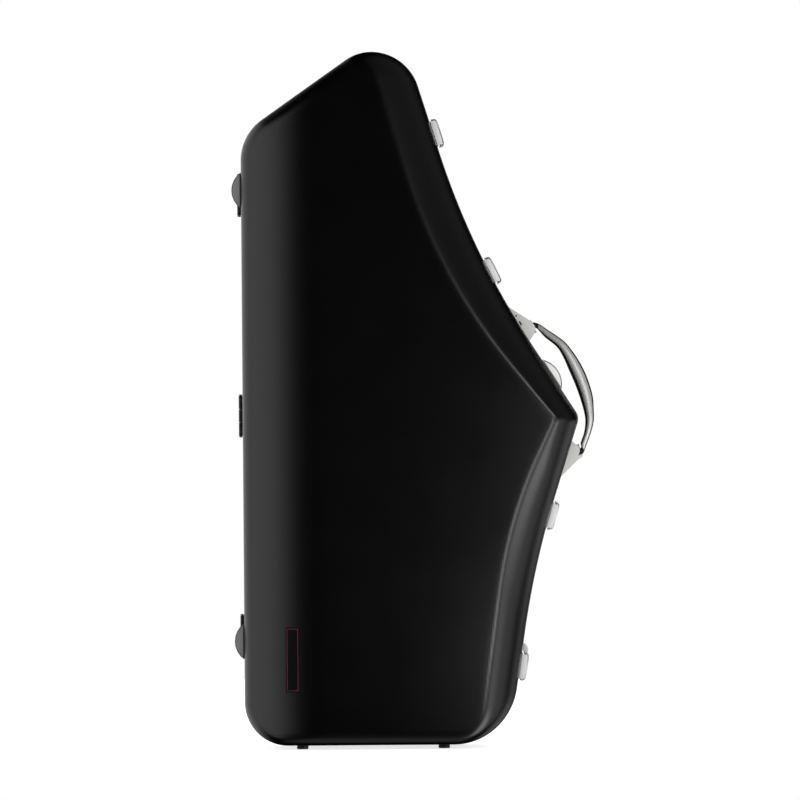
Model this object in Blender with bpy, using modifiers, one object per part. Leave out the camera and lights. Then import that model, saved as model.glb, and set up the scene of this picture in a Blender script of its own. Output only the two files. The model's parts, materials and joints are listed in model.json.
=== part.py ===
"""Moulded double saxophone case: two lofted shells that open along a vertical spine.

The case stands on its foot. +X points to the handle, the lid faces -Y, +Z is up.
Inside, x runs from the spine wall and y from the seam; one parent empty moves the whole
case so that its origin lies under its middle, on the surface that it stands on.
"""

import math
from dataclasses import dataclass

import bmesh
import bpy
from mathutils import Matrix, Vector

MM = 0.001

# Outline at the seam: sharp corners, each with the radius of its round
CASE_SPINE_HEIGHT = 689 * MM
CASE_FOOT_WIDTH = 299 * MM
WAIST_OUT = 30 * MM
WAIST_Z = 203 * MM
APEX_OUT = 82 * MM
APEX_Z = 368 * MM
SHOULDER_IN = 38 * MM
SHOULDER_Z = 554 * MM
CROWN_SHARE = 179 / 299
CROWN_Z = 814 * MM
HEEL_RADIUS = 48 * MM
TOE_RADIUS = 72 * MM
WAIST_RADIUS = 1000 * MM
APEX_RADIUS = 16 * MM
SHOULDER_RADIUS = 900 * MM
CROWN_RADIUS = 54 * MM
SPINE_TOP_RADIUS = 55 * MM
WAIST_X = CASE_FOOT_WIDTH + WAIST_OUT
APEX_X = CASE_FOOT_WIDTH + APEX_OUT
SHOULDER_X = CASE_FOOT_WIDTH - SHOULDER_IN
CROWN_X = CASE_FOOT_WIDTH * CROWN_SHARE

# Moulded shells
SHELL_WALL = 4 * MM
FIT_GAP = 0.3 * MM
WALL_GAP = 0.5 * MM
LID_DEPTH = 92 * MM
BASE_DEPTH = 98 * MM
EDGE_RADIUS = 12 * MM
SPINE_REACH = 92 * MM
SPINE_WALL = 40 * MM
LID_SIDE_WALL = 24 * MM
BASE_SIDE_WALL = 52 * MM
BASE_SIDE_REACH = 34 * MM
PANEL_FILLET = 8 * MM
CREASE_TURN = math.radians(66)
SQUARE_TURN = math.radians(90)

# Crease of the lid, set in from the corners of the outline
CREASE_TOE_IN = 30 * MM
CREASE_TOE_RADIUS = 34 * MM
CREASE_WAIST_IN = 27 * MM
CREASE_WAIST_UP = 59 * MM
CREASE_WAIST_RADIUS = 500 * MM
CREASE_APEX_IN = 26 * MM
CREASE_APEX_DROP = 2 * MM
CREASE_SHOULDER_IN = 37 * MM
CREASE_SHOULDER_DROP = 34 * MM
CREASE_SHOULDER_RADIUS = 600 * MM
CREASE_CROWN_IN = 33 * MM
CREASE_CROWN_RADIUS = 20 * MM

# Facets of the loft
HEEL_STEPS = 6
REACH_STEPS = 3
SECTION_STEPS = 5
LINE_STEPS = 2
TOE_STEPS = 7
BEND_STEPS = 8
APEX_STEPS = 4
CROWN_STEPS = 8

# Rims and seal round the seam
SEAM_GAP = 0.4 * MM
RIM_DEPTH = 16 * MM
RIM_WIDTH = 7 * MM
GROOVE_FROM_WALL = 2.4 * MM
GROOVE_WIDTH = 2.4 * MM
GROOVE_DEPTH = 3.2 * MM
TONGUE_GAP = 0.4 * MM
TONGUE_HEIGHT = 2.0 * MM
SEAL_THICKNESS = 1.0 * MM

# Foam linings
FOAM_CLEARANCE = 2.6 * MM
FOAM_FLOOR_GAP = 0.5 * MM
FOAM_TOP = 4 * MM
ALTO_BODY_TOP = (162 * MM, 632 * MM)
ALTO_BODY_FOOT = (171 * MM, 96 * MM)
ALTO_BOW_END = (224 * MM, 100 * MM)
ALTO_BELL = (272 * MM, 326 * MM)
ALTO_NECK_RADIUS = 38 * MM
ALTO_FOOT_RADIUS = 50 * MM
ALTO_BOW_RADIUS = 51 * MM
ALTO_BELL_RADIUS = 66 * MM
SOPRANO_BELL = (69 * MM, 98 * MM)
SOPRANO_TOP = (64 * MM, 636 * MM)
SOPRANO_BELL_RADIUS = 46 * MM
SOPRANO_TOP_RADIUS = 25 * MM
POUCH_CENTRE = (146 * MM, 712 * MM)
POUCH_HALF_LENGTH = 22 * MM
POUCH_RADIUS = 24 * MM
ALTO_BODY_RECESS = 54 * MM
ALTO_BOW_RECESS = 57 * MM
ALTO_BELL_RECESS = 60 * MM
SOPRANO_RECESS = 46 * MM
POUCH_RECESS = 40 * MM
RECESS_STEPS = 7

# Retaining straps over the recesses
STRAP_WIDTH = 38 * MM
STRAP_THICKNESS = 1.8 * MM
STRAP_RISE = 2.0 * MM
STRAP_LAP = 22 * MM
ALTO_STRAP_Z = 470 * MM
SOPRANO_STRAP_Z = 400 * MM

# Spine hinges
LOWER_HINGE_Z = 123 * MM
MIDDLE_HINGE_Z = 372 * MM
UPPER_HINGE_DROP = 67 * MM
HINGE_LENGTH = 45.6 * MM
HINGE_AXIS_OUT = 2.7 * MM
KNUCKLE_RADIUS = 2.2 * MM
HINGE_BORE = 1.2 * MM
HINGE_PIN_RADIUS = 0.9 * MM
HINGE_HEAD_RADIUS = 1.9 * MM
HINGE_HEAD_LENGTH = 1.2 * MM
LEAF_THICKNESS = 1.2 * MM
LEAF_NEAR = 3.0 * MM
LEAF_FAR = 12.0 * MM
KNUCKLE_GAP = 0.4 * MM

# Draw latches on the handle side
LATCH_HEIGHTS = (86 * MM, 257 * MM, 533 * MM, 690 * MM)
LATCH_WIDTH = 33 * MM
LATCH_PROUD = 8.8 * MM
LEVER_SKIN = 1.5 * MM
LEVER_CORNER = 4.2 * MM
LEVER_LIFT = 2.4 * MM
LEVER_NEAR = 13.8 * MM
LEVER_FAR = 38 * MM
ARM_SLOT_FAR = 24.5 * MM
CHEEK_NEAR = 8.0 * MM
LATCH_PLATE_WIDTH = 29 * MM
LATCH_PLATE_NEAR = 3.5 * MM
LATCH_PLATE_FAR = 34 * MM
LATCH_PLATE_THICKNESS = 1.2 * MM
EAR_INSIDE = 11.0 * MM
EAR_THICKNESS = 1.6 * MM
EAR_RADIUS = 2.7 * MM
PIVOT_Y = 10.5 * MM
PIVOT_OUT = 5.2 * MM
STUB_RADIUS = 1.2 * MM
HOOK_PIVOT_Y = 20 * MM
HOOK_PIVOT_OUT = 4.4 * MM
HOOK_HALF_WIDTH = 9.6 * MM
HOOK_THICKNESS = 1.4 * MM
HOOK_TIP_Y = 11 * MM
HOOK_TIP_OUT = 2.3 * MM
KEEPER_WIDTH = 26 * MM
KEEPER_NEAR = 4 * MM
KEEPER_FAR = 17 * MM
KEEPER_THICKNESS = 1.2 * MM
KEEPER_LIP = 1.4 * MM
SHIELD_NEAR = 16.5 * MM
SHIELD_THICKNESS = 1.5 * MM
SHIELD_WIDTH = 28 * MM
SHIELD_HEIGHT = 6.6 * MM
SHIELD_CORNER = 2.6 * MM
CAP_Z = 103.5 * MM
CAP_LENGTH = 8.6 * MM
CAP_PROUD = 6 * MM
CAP_WIDTH = 14 * MM
CAP_NEAR = 4 * MM

# Handle on the base shell
HANDLE_Y = 28 * MM
UPPER_PIVOT_Z = 461 * MM
UPPER_PIVOT_OUT = 9.2 * MM
LOWER_PIVOT_Z = 335 * MM
LOWER_PIVOT_OUT = 7.8 * MM
UPPER_BRACKET_SPAN = (454 * MM, 493.5 * MM)
LOWER_BRACKET_SPAN = (341 * MM, 300.5 * MM)
BRACKET_WIDTH = 28 * MM
BRACKET_FLOOR = 5.2 * MM
BRACKET_SHOULDER = 1.5 * MM
EAR_LENGTH = 3.5 * MM
BOSS_RADIUS = 4.2 * MM
BOSS_END_RADIUS = 2.8 * MM
EAR_WEB_WIDTH = 7 * MM
KNUCKLE_LENGTH = 8 * MM
KNUCKLE_SIDE_GAP = 0.5 * MM
HANDLE_PIN_RADIUS = 1.6 * MM
GRIP_REACH = 40 * MM
GRIP_WIDTH = 26 * MM
NECK_WIDTH = 14 * MM
NECK_RISE = 5.2 * MM
GRIP_SIDES = 12

# Half-moon bumpers and the grip's rest
LOWER_BUMPER_Z = 117 * MM
UPPER_BUMPER_DROP = 62 * MM
BUMPER_LENGTH = 41 * MM
BUMPER_PROUD = 10.6 * MM
BUMPER_NEAR = 13.5 * MM
BUMPER_FAR = 36 * MM
BUMPER_BEVEL = 1.2 * MM
REST_Z = 416 * MM
REST_LENGTH = 41 * MM
REST_PROUD = 8.6 * MM
REST_WIDTH = 22 * MM

# Rubber feet
FOOT_RADIUS = 6.5 * MM
FOOT_HEIGHT = 5 * MM
FOOT_BEVEL = 1.0 * MM
INNER_FOOT_X = 65 * MM
OUTER_FOOT_IN = 74 * MM
LID_FOOT_Y = 42 * MM
BASE_FOOT_Y = 52 * MM

# Strap anchors on the back
ANCHOR_PLACES = ((140 * MM, 690 * MM), (115 * MM, 110 * MM), (235 * MM, 110 * MM))
ANCHOR_WIDTH = 34 * MM
ANCHOR_HEIGHT = 16 * MM
ANCHOR_PLATE = 2.2 * MM
ANCHOR_TUNNEL = 18 * MM
RING_WIRE = 1.6 * MM
RING_HALF_WIDTH = 14 * MM
RING_DROP = 9 * MM
RING_STEPS = 10
SLEEVE_WALL = 1.6 * MM

# How far a cutter runs past what it cuts
OVERRUN = 1 * MM
ROUND_SIDES = 16
SMALL_SIDES = 12
SMOOTH_ANGLE = math.radians(35)
FLAT_ANGLE = math.radians(1)
WELD_DISTANCE = 0.01 * MM

# The grip's sections, as shares chosen by eye: outer edge along and out, inner edge, width
GRIP_SHARES = (
    (-0.025, 0.280, 0.025, 0.195, 0.65),
    (0.025, 0.402, 0.089, 0.290, 0.78),
    (0.161, 0.735, 0.186, 0.492, 0.96),
    (0.277, 0.882, 0.274, 0.560, 1.0),
    (0.397, 0.968, 0.390, 0.585, 1.0),
    (0.513, 0.995, 0.511, 0.605, 1.0),
    (0.654, 0.960, 0.630, 0.602, 1.0),
    (0.757, 0.855, 0.744, 0.570, 1.0),
    (0.846, 0.738, 0.823, 0.510, 0.96),
    (0.927, 0.543, 0.908, 0.358, 0.80),
    (1.011, 0.285, 0.973, 0.168, 0.65),
)
GRIP_SQUARE_SHARE = 0.7


@dataclass(frozen=True)
class Finish:
    """Colour and surface of one material."""

    name: str
    colour: tuple
    roughness: float
    metallic: float = 0.0


SHELL = Finish("black_moulded_shell", (0.012, 0.012, 0.013), 0.45)
RIM = Finish("black_rim", (0.02, 0.02, 0.021), 0.5)
RUBBER = Finish("dark_rubber", (0.015, 0.015, 0.015), 0.8)
BUMPER = Finish("grey_bumper", (0.13, 0.13, 0.13), 0.6)
GREY_PLASTIC = Finish("light_grey_plastic", (0.5, 0.5, 0.49), 0.5)
GRIP = Finish("grey_grip", (0.3, 0.3, 0.29), 0.55)
STEEL = Finish("satin_steel", (0.55, 0.55, 0.55), 0.35, 1.0)
HINGE = Finish("black_steel", (0.01, 0.01, 0.01), 0.45, 0.6)
FOAM = Finish("lining_plush", (0.03, 0.03, 0.032), 0.95)
WEBBING = Finish("strap_webbing", (0.02, 0.02, 0.02), 0.9)


@dataclass(frozen=True)
class Corner:
    """A sharp corner of an outline and the radius that rounds it."""

    x: float
    z: float
    radius: float


@dataclass(frozen=True)
class Arc:
    """The round of one corner; side is 1 where the outline turns left, -1 where it turns right."""

    centre: Vector
    radius: float
    start: Vector
    end: Vector
    side: int

    def points(self, steps):
        """Points along the arc, each with its outward normal."""
        first = self.start - self.centre
        sweep = first.angle_signed(self.end - self.centre)
        for step in range(steps + 1):
            turned = first.copy()
            turned.rotate(Matrix.Rotation(-sweep * step / steps, 2))
            yield self.centre + turned, turned.normalized() * self.side


class Outline:
    """A closed run of straight edges and arcs in the XZ plane, counter-clockwise from the front."""

    def __init__(self, corners):
        self.corners = corners
        count = len(corners)
        places = [Vector((corner.x, corner.z)) for corner in corners]
        self.heads = [(places[(i + 1) % count] - places[i]).normalized() for i in range(count)]
        self.inward = [Vector((-head.y, head.x)) for head in self.heads]
        self.arcs = []
        for i in range(count):
            before, after = self.heads[i - 1], self.heads[i]
            side = 1 if before.x * after.y - before.y * after.x > 0 else -1
            reach = corners[i].radius * math.tan(before.angle(after) / 2)
            start = places[i] - before * reach
            centre = start + self.inward[i - 1] * corners[i].radius * side
            self.arcs.append(Arc(centre, corners[i].radius, start, places[i] + after * reach, side))

    def inset(self, distance):
        """The same outline, moved inwards; its rounds keep their centres where they can."""
        moved = []
        for i, corner in enumerate(self.corners):
            before, after = self.inward[i - 1], self.inward[i]
            shift = (before + after) * distance / (1 + before.dot(after))
            radius = corner.radius - self.arcs[i].side * distance
            moved.append(Corner(corner.x + shift.x, corner.z + shift.y, max(radius, PANEL_FILLET)))
        return Outline(moved)

    def at_x(self, x, top):
        """Point and outward normal at x on the foot edge, or on the slanted top edge."""
        index = len(self.arcs) - 1 if top else 0
        arc = self.arcs[index]
        edge = index - 1 if top else 0
        reached = arc.start.x if top else arc.end.x
        if x < reached:
            across = arc.centre.x - x
            rise = math.sqrt(max(arc.radius ** 2 - across ** 2, 0))
            point = Vector((x, arc.centre.y + (rise if top else -rise)))
            return point, (point - arc.centre).normalized()
        anchor = arc.start if top else arc.end
        head = self.heads[edge]
        point = anchor + head * ((x - anchor.x) / head.x)
        return point, -self.inward[edge]

    def at_z(self, z):
        """Point and outward normal at height z on the handle side."""
        for i in range(1, len(self.arcs) - 1):
            arc = self.arcs[i]
            low, high = sorted((arc.start.y, arc.end.y))
            if low <= z <= high:
                run = math.sqrt(arc.radius ** 2 - (z - arc.centre.y) ** 2)
                point = Vector((arc.centre.x + run * arc.side, z))
                return point, (point - arc.centre).normalized() * arc.side
            ahead = self.arcs[i + 1].start
            if arc.end.y <= z <= ahead.y:
                point = arc.end.lerp(ahead, (z - arc.end.y) / (ahead.y - arc.end.y))
                return point, -self.inward[i]
        raise ValueError("height is past the handle side")

    def walk(self, start, finish):
        """Points and outward normals from the foot edge round the handle side to the slant."""
        steps = (TOE_STEPS, BEND_STEPS, APEX_STEPS, BEND_STEPS, CROWN_STEPS)
        here = start
        for i, arc_steps in enumerate(steps, start=1):
            arc = self.arcs[i]
            for step in range(1, LINE_STEPS):
                yield here.lerp(arc.start, step / LINE_STEPS), -self.inward[i - 1]
            yield from arc.points(arc_steps)
            here = arc.end
        for step in range(1, LINE_STEPS):
            yield here.lerp(finish, step / LINE_STEPS), -self.inward[len(steps)]


def side_shares():
    """How far each point of a walk belongs to the handle side, from 0 to 1."""
    steps = (TOE_STEPS, BEND_STEPS, APEX_STEPS, BEND_STEPS, CROWN_STEPS)
    last = len(steps) - 1
    for i, arc_steps in enumerate(steps):
        for _ in range(1, LINE_STEPS):
            yield 0.0 if i == 0 else 1.0
        for step in range(arc_steps + 1):
            along = step / arc_steps
            smooth = along * along * (3 - 2 * along)
            yield smooth if i == 0 else 1 - smooth if i == last else 1.0
    for _ in range(1, LINE_STEPS):
        yield 0.0


def case_outline():
    """Outline of both shells at the seam."""
    return Outline([
        Corner(0, 0, HEEL_RADIUS),
        Corner(CASE_FOOT_WIDTH, 0, TOE_RADIUS),
        Corner(WAIST_X, WAIST_Z, WAIST_RADIUS),
        Corner(APEX_X, APEX_Z, APEX_RADIUS),
        Corner(SHOULDER_X, SHOULDER_Z, SHOULDER_RADIUS),
        Corner(CROWN_X, CROWN_Z, CROWN_RADIUS),
        Corner(0, CASE_SPINE_HEIGHT, SPINE_TOP_RADIUS),
    ])


def crease_outline(outline):
    """Edge of the lid's flat panel: the crease on the handle side, the edge round elsewhere."""
    edge = outline.inset(EDGE_RADIUS)
    heel, toe, top = edge.corners[0], edge.corners[1], edge.corners[-1]
    crown, _ = edge.at_x(CROWN_X - CREASE_CROWN_IN, top=True)
    return Outline([
        heel,
        Corner(CASE_FOOT_WIDTH - CREASE_TOE_IN, toe.z, CREASE_TOE_RADIUS),
        Corner(WAIST_X - CREASE_WAIST_IN, WAIST_Z + CREASE_WAIST_UP, CREASE_WAIST_RADIUS),
        Corner(APEX_X - CREASE_APEX_IN, APEX_Z - CREASE_APEX_DROP, PANEL_FILLET),
        Corner(SHOULDER_X - CREASE_SHOULDER_IN, SHOULDER_Z - CREASE_SHOULDER_DROP,
               CREASE_SHOULDER_RADIUS),
        Corner(crown.x, crown.y, CREASE_CROWN_RADIUS),
        top,
    ])


def back_outline(outline):
    """Edge of the base's flat back: the side is set in, the edge round elsewhere is small."""
    edge = outline.inset(EDGE_RADIUS)
    side = outline.inset(BASE_SIDE_REACH)
    heel, toe, crown, top = edge.corners[0], edge.corners[1], edge.corners[-2], edge.corners[-1]
    shoulder = side.corners[4]
    crown_point, _ = edge.at_x(side.corners[-2].x, top=True)
    return Outline([
        heel,
        Corner(side.corners[1].x, toe.z, TOE_RADIUS - EDGE_RADIUS),
        side.corners[2],
        side.corners[3],
        shoulder,
        Corner(crown_point.x, crown_point.y, CREASE_CROWN_RADIUS),
        top,
    ])


@dataclass(frozen=True)
class Half:
    """Shape of one shell: the way it faces, its depth and how its side turns into its panel."""

    facing: int
    depth: float
    side_wall: float
    side_turn: float
    panel: Outline


def ring_points(outline, panel):
    """The outer ring and the panel ring of a half, point by point, with normals and shares."""
    edge = outline.inset(EDGE_RADIUS)
    heel = edge.arcs[0]
    stations = [heel.centre.x - heel.radius * math.cos(SQUARE_TURN * step / HEEL_STEPS)
                for step in range(HEEL_STEPS + 1)]
    rest = SPINE_REACH - stations[-1]
    stations += [stations[-1] + rest * step / REACH_STEPS for step in range(1, REACH_STEPS + 1)]
    foot = [edge.at_x(x, top=False) for x in stations]
    slant = [edge.at_x(x, top=True) for x in stations]

    def at_station(point, normal):
        return point + normal * EDGE_RADIUS, point, normal, 0.0

    ring = [at_station(*stop) for stop in foot]
    outer_run = outline.walk(ring[-1][0], slant[-1][0] + slant[-1][1] * EDGE_RADIUS)
    panel_run = panel.walk(ring[-1][1], slant[-1][0])
    for (outer, normal), (inner, _), share in zip(outer_run, panel_run, side_shares()):
        ring.append((outer, inner, normal, share))
    ring += [at_station(*stop) for stop in reversed(slant)]
    return ring, len(stations)


def half_surface(outline, half, inset, rim_rows):
    """Rows of a half's surface from the seam to its panel, shrunk all over by inset."""
    ring, stations = ring_points(outline, half.panel)
    depth = half.depth - inset
    spine_turn = math.acos(1 - EDGE_RADIUS / SPINE_REACH)

    def reached(x):
        across = min(max((SPINE_REACH - x) / (SPINE_REACH - inset), 0), 1)
        return SPINE_WALL + (depth - SPINE_WALL) * math.sqrt(1 - across ** 2)

    rows = [[outer - normal * row_inset for outer, _, normal, _ in ring] for row_inset, _ in rim_rows]
    heights = [[height] * len(ring) for _, height in rim_rows]
    for step in range(SECTION_STEPS + 1):
        share = step / SECTION_STEPS
        row, row_heights = [], []
        for outer, inner, normal, side in ring:
            spine = max(-normal.x, 0) ** 2 * (1 - side)
            top = reached(inner.x)
            wall = top - (EDGE_RADIUS - inset)
            wall += (half.side_wall - wall) * side
            wall += (SPINE_WALL - wall) * spine
            turn = SQUARE_TURN + (half.side_turn - SQUARE_TURN) * side
            turn += (spine_turn - turn) * spine
            along = (1 - math.cos(turn * share)) / (1 - math.cos(turn))
            up = math.sin(turn * share) / math.sin(turn)
            row.append((outer - normal * inset).lerp(inner, along))
            row_heights.append(wall + (top - wall) * up)
        rows.append(row)
        heights.append(row_heights)
    return rows, heights, stations


def half_mesh(name, outline, half, inset, rim_rows, closed):
    """Mesh of a half's surface; closed adds a flat face at the seam side."""
    rows, heights, stations = half_surface(outline, half, inset, rim_rows)
    mesh = bmesh.new()
    grid = [[mesh.verts.new((point.x, half.facing * height, point.y))
             for point, height in zip(row, row_heights)]
            for row, row_heights in zip(rows, heights)]
    count = len(grid[0])
    for near, far in zip(grid, grid[1:]):
        for i in range(count):
            after = (i + 1) % count
            mesh.faces.new((near[i], near[after], far[after], far[i]))
    panel = grid[-1]
    for i in range(stations - 1):
        across = count - 1 - i
        mesh.faces.new((panel[i], panel[i + 1], panel[across - 1], panel[across]))
    mesh.faces.new(panel[stations - 1:count - stations + 1])
    if closed:
        mesh.faces.new(list(reversed(grid[0])))
    if half.facing > 0:
        bmesh.ops.reverse_faces(mesh, faces=mesh.faces)
    return to_object(name, mesh)


PARTS = "double_saxophone_case"
CUTTERS = "cutters"


def reset_scene():
    """Empty the scene and make the two collections."""
    for obj in list(bpy.data.objects):
        bpy.data.objects.remove(obj, do_unlink=True)
    for name in (PARTS, CUTTERS):
        collection = bpy.data.collections.new(name)
        bpy.context.scene.collection.children.link(collection)
    return bpy.data.collections[PARTS], bpy.data.collections[CUTTERS]


def to_object(name, mesh):
    """Turn a bmesh into an unlinked object."""
    data = bpy.data.meshes.new(name)
    mesh.to_mesh(data)
    mesh.free()
    return bpy.data.objects.new(name, data)


def material_of(finish):
    """The Principled material for a finish, made once."""
    known = bpy.data.materials.get(finish.name)
    if known:
        return known
    material = bpy.data.materials.new(finish.name)
    material.use_nodes = True
    shader = material.node_tree.nodes["Principled BSDF"]
    shader.inputs["Base Color"].default_value = (*finish.colour, 1.0)
    shader.inputs["Roughness"].default_value = finish.roughness
    shader.inputs["Metallic"].default_value = finish.metallic
    return material


def shade(obj):
    """Smooth shading with sharp edges kept."""
    obj.data.shade_smooth()
    obj.data.set_sharp_from_angle(angle=SMOOTH_ANGLE)


def box(name, low, high):
    """A box between two corners."""
    mesh = bmesh.new()
    size = Vector(high) - Vector(low)
    middle = (Vector(high) + Vector(low)) / 2
    bmesh.ops.create_cube(mesh, size=1, matrix=Matrix.Translation(middle) @ Matrix.Diagonal((*size, 1)))
    return to_object(name, mesh)


def rod(name, start, end, radius, sides=ROUND_SIDES, end_radius=None):
    """A cylinder or cone between two points."""
    mesh = bmesh.new()
    run = Vector(end) - Vector(start)
    turn = Vector((0, 0, 1)).rotation_difference(run.normalized()).to_matrix().to_4x4()
    middle = (Vector(start) + Vector(end)) / 2
    bmesh.ops.create_cone(mesh, cap_ends=True, segments=sides, radius1=radius,
                          radius2=radius if end_radius is None else end_radius,
                          depth=run.length, matrix=Matrix.Translation(middle) @ turn)
    return to_object(name, mesh)


def evaluated_copy(name, sources):
    """The first source as it looks with its modifiers, as a new mesh; the sources are removed."""
    graph = bpy.context.evaluated_depsgraph_get()
    data = bpy.data.meshes.new_from_object(sources[0].evaluated_get(graph))
    for source in sources:
        bpy.data.objects.remove(source, do_unlink=True)
    return bpy.data.objects.new(name, data)


def curve_mesh(name, curve, points):
    """A closed polyline with its curve settings, turned into a bmesh."""
    spline = curve.splines.new("POLY")
    spline.points.add(len(points) - 1)
    for spot, point in zip(spline.points, points):
        spot.co = (*point, 1)
    spline.use_cyclic_u = True
    source = bpy.data.objects.new(name, curve)
    bpy.context.scene.collection.objects.link(source)
    copy = evaluated_copy(name, [source])
    bpy.data.curves.remove(curve)
    mesh = bmesh.new()
    mesh.from_mesh(copy.data)
    bpy.data.objects.remove(copy, do_unlink=True)
    bmesh.ops.remove_doubles(mesh, verts=mesh.verts, dist=WELD_DISTANCE)
    return mesh


def flat_outline(name, points, low, high):
    """A closed outline in the XZ plane, given thickness along Y from low to high."""
    curve = bpy.data.curves.new(name, "CURVE")
    curve.dimensions = "2D"
    curve.fill_mode = "BOTH"
    curve.extrude = (high - low) / 2
    mesh = curve_mesh(name, curve, [(*point, 0) for point in points])
    bmesh.ops.dissolve_limit(mesh, angle_limit=FLAT_ANGLE, verts=mesh.verts, edges=mesh.edges)
    stand = Matrix.Translation((0, (low + high) / 2, 0)) @ Matrix.Rotation(SQUARE_TURN, 4, "X")
    bmesh.ops.transform(mesh, matrix=stand, verts=mesh.verts)
    return to_object(name, mesh)


def segment_points(length, proud, steps):
    """Half-moon outline that stands on its chord: along z, out to -x."""
    radius = (length ** 2 / 4 + proud ** 2) / (2 * proud)
    half = math.asin(length / 2 / radius)
    centre = radius - proud
    points = []
    for step in range(steps + 1):
        angle = -half + 2 * half * step / steps
        points.append((centre - radius * math.cos(angle), radius * math.sin(angle)))
    return points


class Builder:
    """Places finished pieces in the case's frame and its collections."""

    def __init__(self, parts, cutters):
        self.parts = parts
        self.cutters = cutters
        self.root = bpy.data.objects.new("case_origin", None)
        parts.objects.link(self.root)

    def place(self, obj, finish, frame=None, origin=None):
        """Finish a piece: parent, place, origin and material."""
        self.parts.objects.link(obj)
        if frame is not None:
            obj.data.transform(frame)
        if origin is not None:
            obj.data.transform(Matrix.Translation(-Vector(origin)))
            obj.location = origin
        obj.data.materials.clear()
        obj.data.materials.append(material_of(finish))
        obj.parent = self.root
        shade(obj)
        return obj

    def cut(self, obj, cutter, operation="DIFFERENCE", frame=None):
        """Cut a cutter from a placed piece, or join it on; the cutter keeps its own place."""
        self.cutters.objects.link(cutter)
        if frame is not None:
            cutter.data.transform(frame)
        cutter.hide_render = True
        cutter.display_type = "WIRE"
        cutter.parent = self.root
        modifier = obj.modifiers.new(cutter.name, "BOOLEAN")
        modifier.operation = operation
        modifier.object = cutter
        modifier.solver = "EXACT"


def bevel(obj, width, angle=math.radians(40)):
    """Round a piece's sharp edges."""
    modifier = obj.modifiers.new("rounded_edges", "BEVEL")
    modifier.width = width
    modifier.segments = 2
    modifier.limit_method = "ANGLE"
    modifier.angle_limit = angle


def merged(name, pieces):
    """Union of simple solids as one new object."""
    base = pieces[0]
    scene = bpy.context.scene.collection
    for piece in pieces:
        scene.objects.link(piece)
    for piece in pieces[1:]:
        modifier = base.modifiers.new(piece.name, "BOOLEAN")
        modifier.operation = "UNION"
        modifier.object = piece
        modifier.solver = "EXACT"
    return evaluated_copy(name, pieces)


def carved(name, solid, cutters):
    """A simple solid with others cut away, as one new object."""
    scene = bpy.context.scene.collection
    for piece in [solid] + cutters:
        scene.objects.link(piece)
    for cutter in cutters:
        modifier = solid.modifiers.new(cutter.name, "BOOLEAN")
        modifier.operation = "DIFFERENCE"
        modifier.object = cutter
        modifier.solver = "EXACT"
    return evaluated_copy(name, [solid] + cutters)


def build_shells(builder, outline, lid, base):
    """The two moulded shells: open lofts with an even wall inside."""
    for name, half in (("lid_shell", lid), ("base_shell", base)):
        shell = half_mesh(name, outline, half, 0, [(0, SEAM_GAP)], closed=False)
        builder.place(shell, SHELL)
        wall = shell.modifiers.new("wall", "SOLIDIFY")
        wall.thickness = SHELL_WALL
        wall.offset = -1
        wall.use_even_offset = True


def swept_section(name, outline, section):
    """A closed section of (inset, y) corners carried round the whole outline."""
    ring, _ = ring_points(outline, outline.inset(EDGE_RADIUS))
    mesh = bmesh.new()
    loops = [[mesh.verts.new((point.x - normal.x * inset, y, point.y - normal.y * inset))
              for point, _, normal, _ in ring] for inset, y in section]
    count = len(ring)
    for i, near in enumerate(loops):
        far = loops[(i + 1) % len(loops)]
        for k in range(count):
            after = (k + 1) % count
            mesh.faces.new((near[k], near[after], far[after], far[k]))
    bmesh.ops.recalc_face_normals(mesh, faces=mesh.faces)
    return to_object(name, mesh)


def build_rims(builder, outline):
    """Rim profiles inside both walls: a tongue on the lid, a groove with the seal on the base."""
    outside = SHELL_WALL + FIT_GAP
    inside = outside + RIM_WIDTH
    groove = outside + GROOVE_FROM_WALL
    groove_end = groove + GROOVE_WIDTH
    groove_floor = SEAM_GAP + GROOVE_DEPTH
    foot = SEAM_GAP + RIM_DEPTH
    builder.place(swept_section("base_rim", outline, [
        (outside, foot), (outside, SEAM_GAP), (groove, SEAM_GAP), (groove, groove_floor),
        (groove_end, groove_floor), (groove_end, SEAM_GAP), (inside, SEAM_GAP), (inside, foot),
    ]), RIM)
    tongue = groove + TONGUE_GAP
    tongue_end = groove_end - TONGUE_GAP
    tongue_tip = -SEAM_GAP + TONGUE_HEIGHT
    builder.place(swept_section("lid_rim", outline, [
        (outside, -foot), (outside, -SEAM_GAP), (tongue, -SEAM_GAP), (tongue, tongue_tip),
        (tongue_end, tongue_tip), (tongue_end, -SEAM_GAP), (inside, -SEAM_GAP), (inside, -foot),
    ]), RIM)
    seal_floor = groove_floor - FIT_GAP
    seal = groove + FIT_GAP
    seal_end = groove_end - FIT_GAP
    builder.place(swept_section("rim_seal", outline, [
        (seal, seal_floor), (seal, seal_floor - SEAL_THICKNESS),
        (seal_end, seal_floor - SEAL_THICKNESS), (seal_end, seal_floor),
    ]), RUBBER)


def tapered_slot(name, start, start_radius, end, end_radius, low, high):
    """A slot with two round ends of unlike radius, as a solid along Y."""
    first, last = Vector(start), Vector(end)
    along = last - first
    lean = math.asin((start_radius - end_radius) / along.length)
    heading = math.atan2(along.y, along.x)
    points = []
    for centre, radius, sweep_from, sweep in (
            (last, end_radius, heading - SQUARE_TURN + lean, 2 * (SQUARE_TURN - lean)),
            (first, start_radius, heading + SQUARE_TURN - lean, 2 * (SQUARE_TURN + lean))):
        for step in range(RECESS_STEPS + 1):
            angle = sweep_from + sweep * step / RECESS_STEPS
            points.append(centre + Vector((math.cos(angle), math.sin(angle))) * radius)
    return flat_outline(name, points, low, high)


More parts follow.
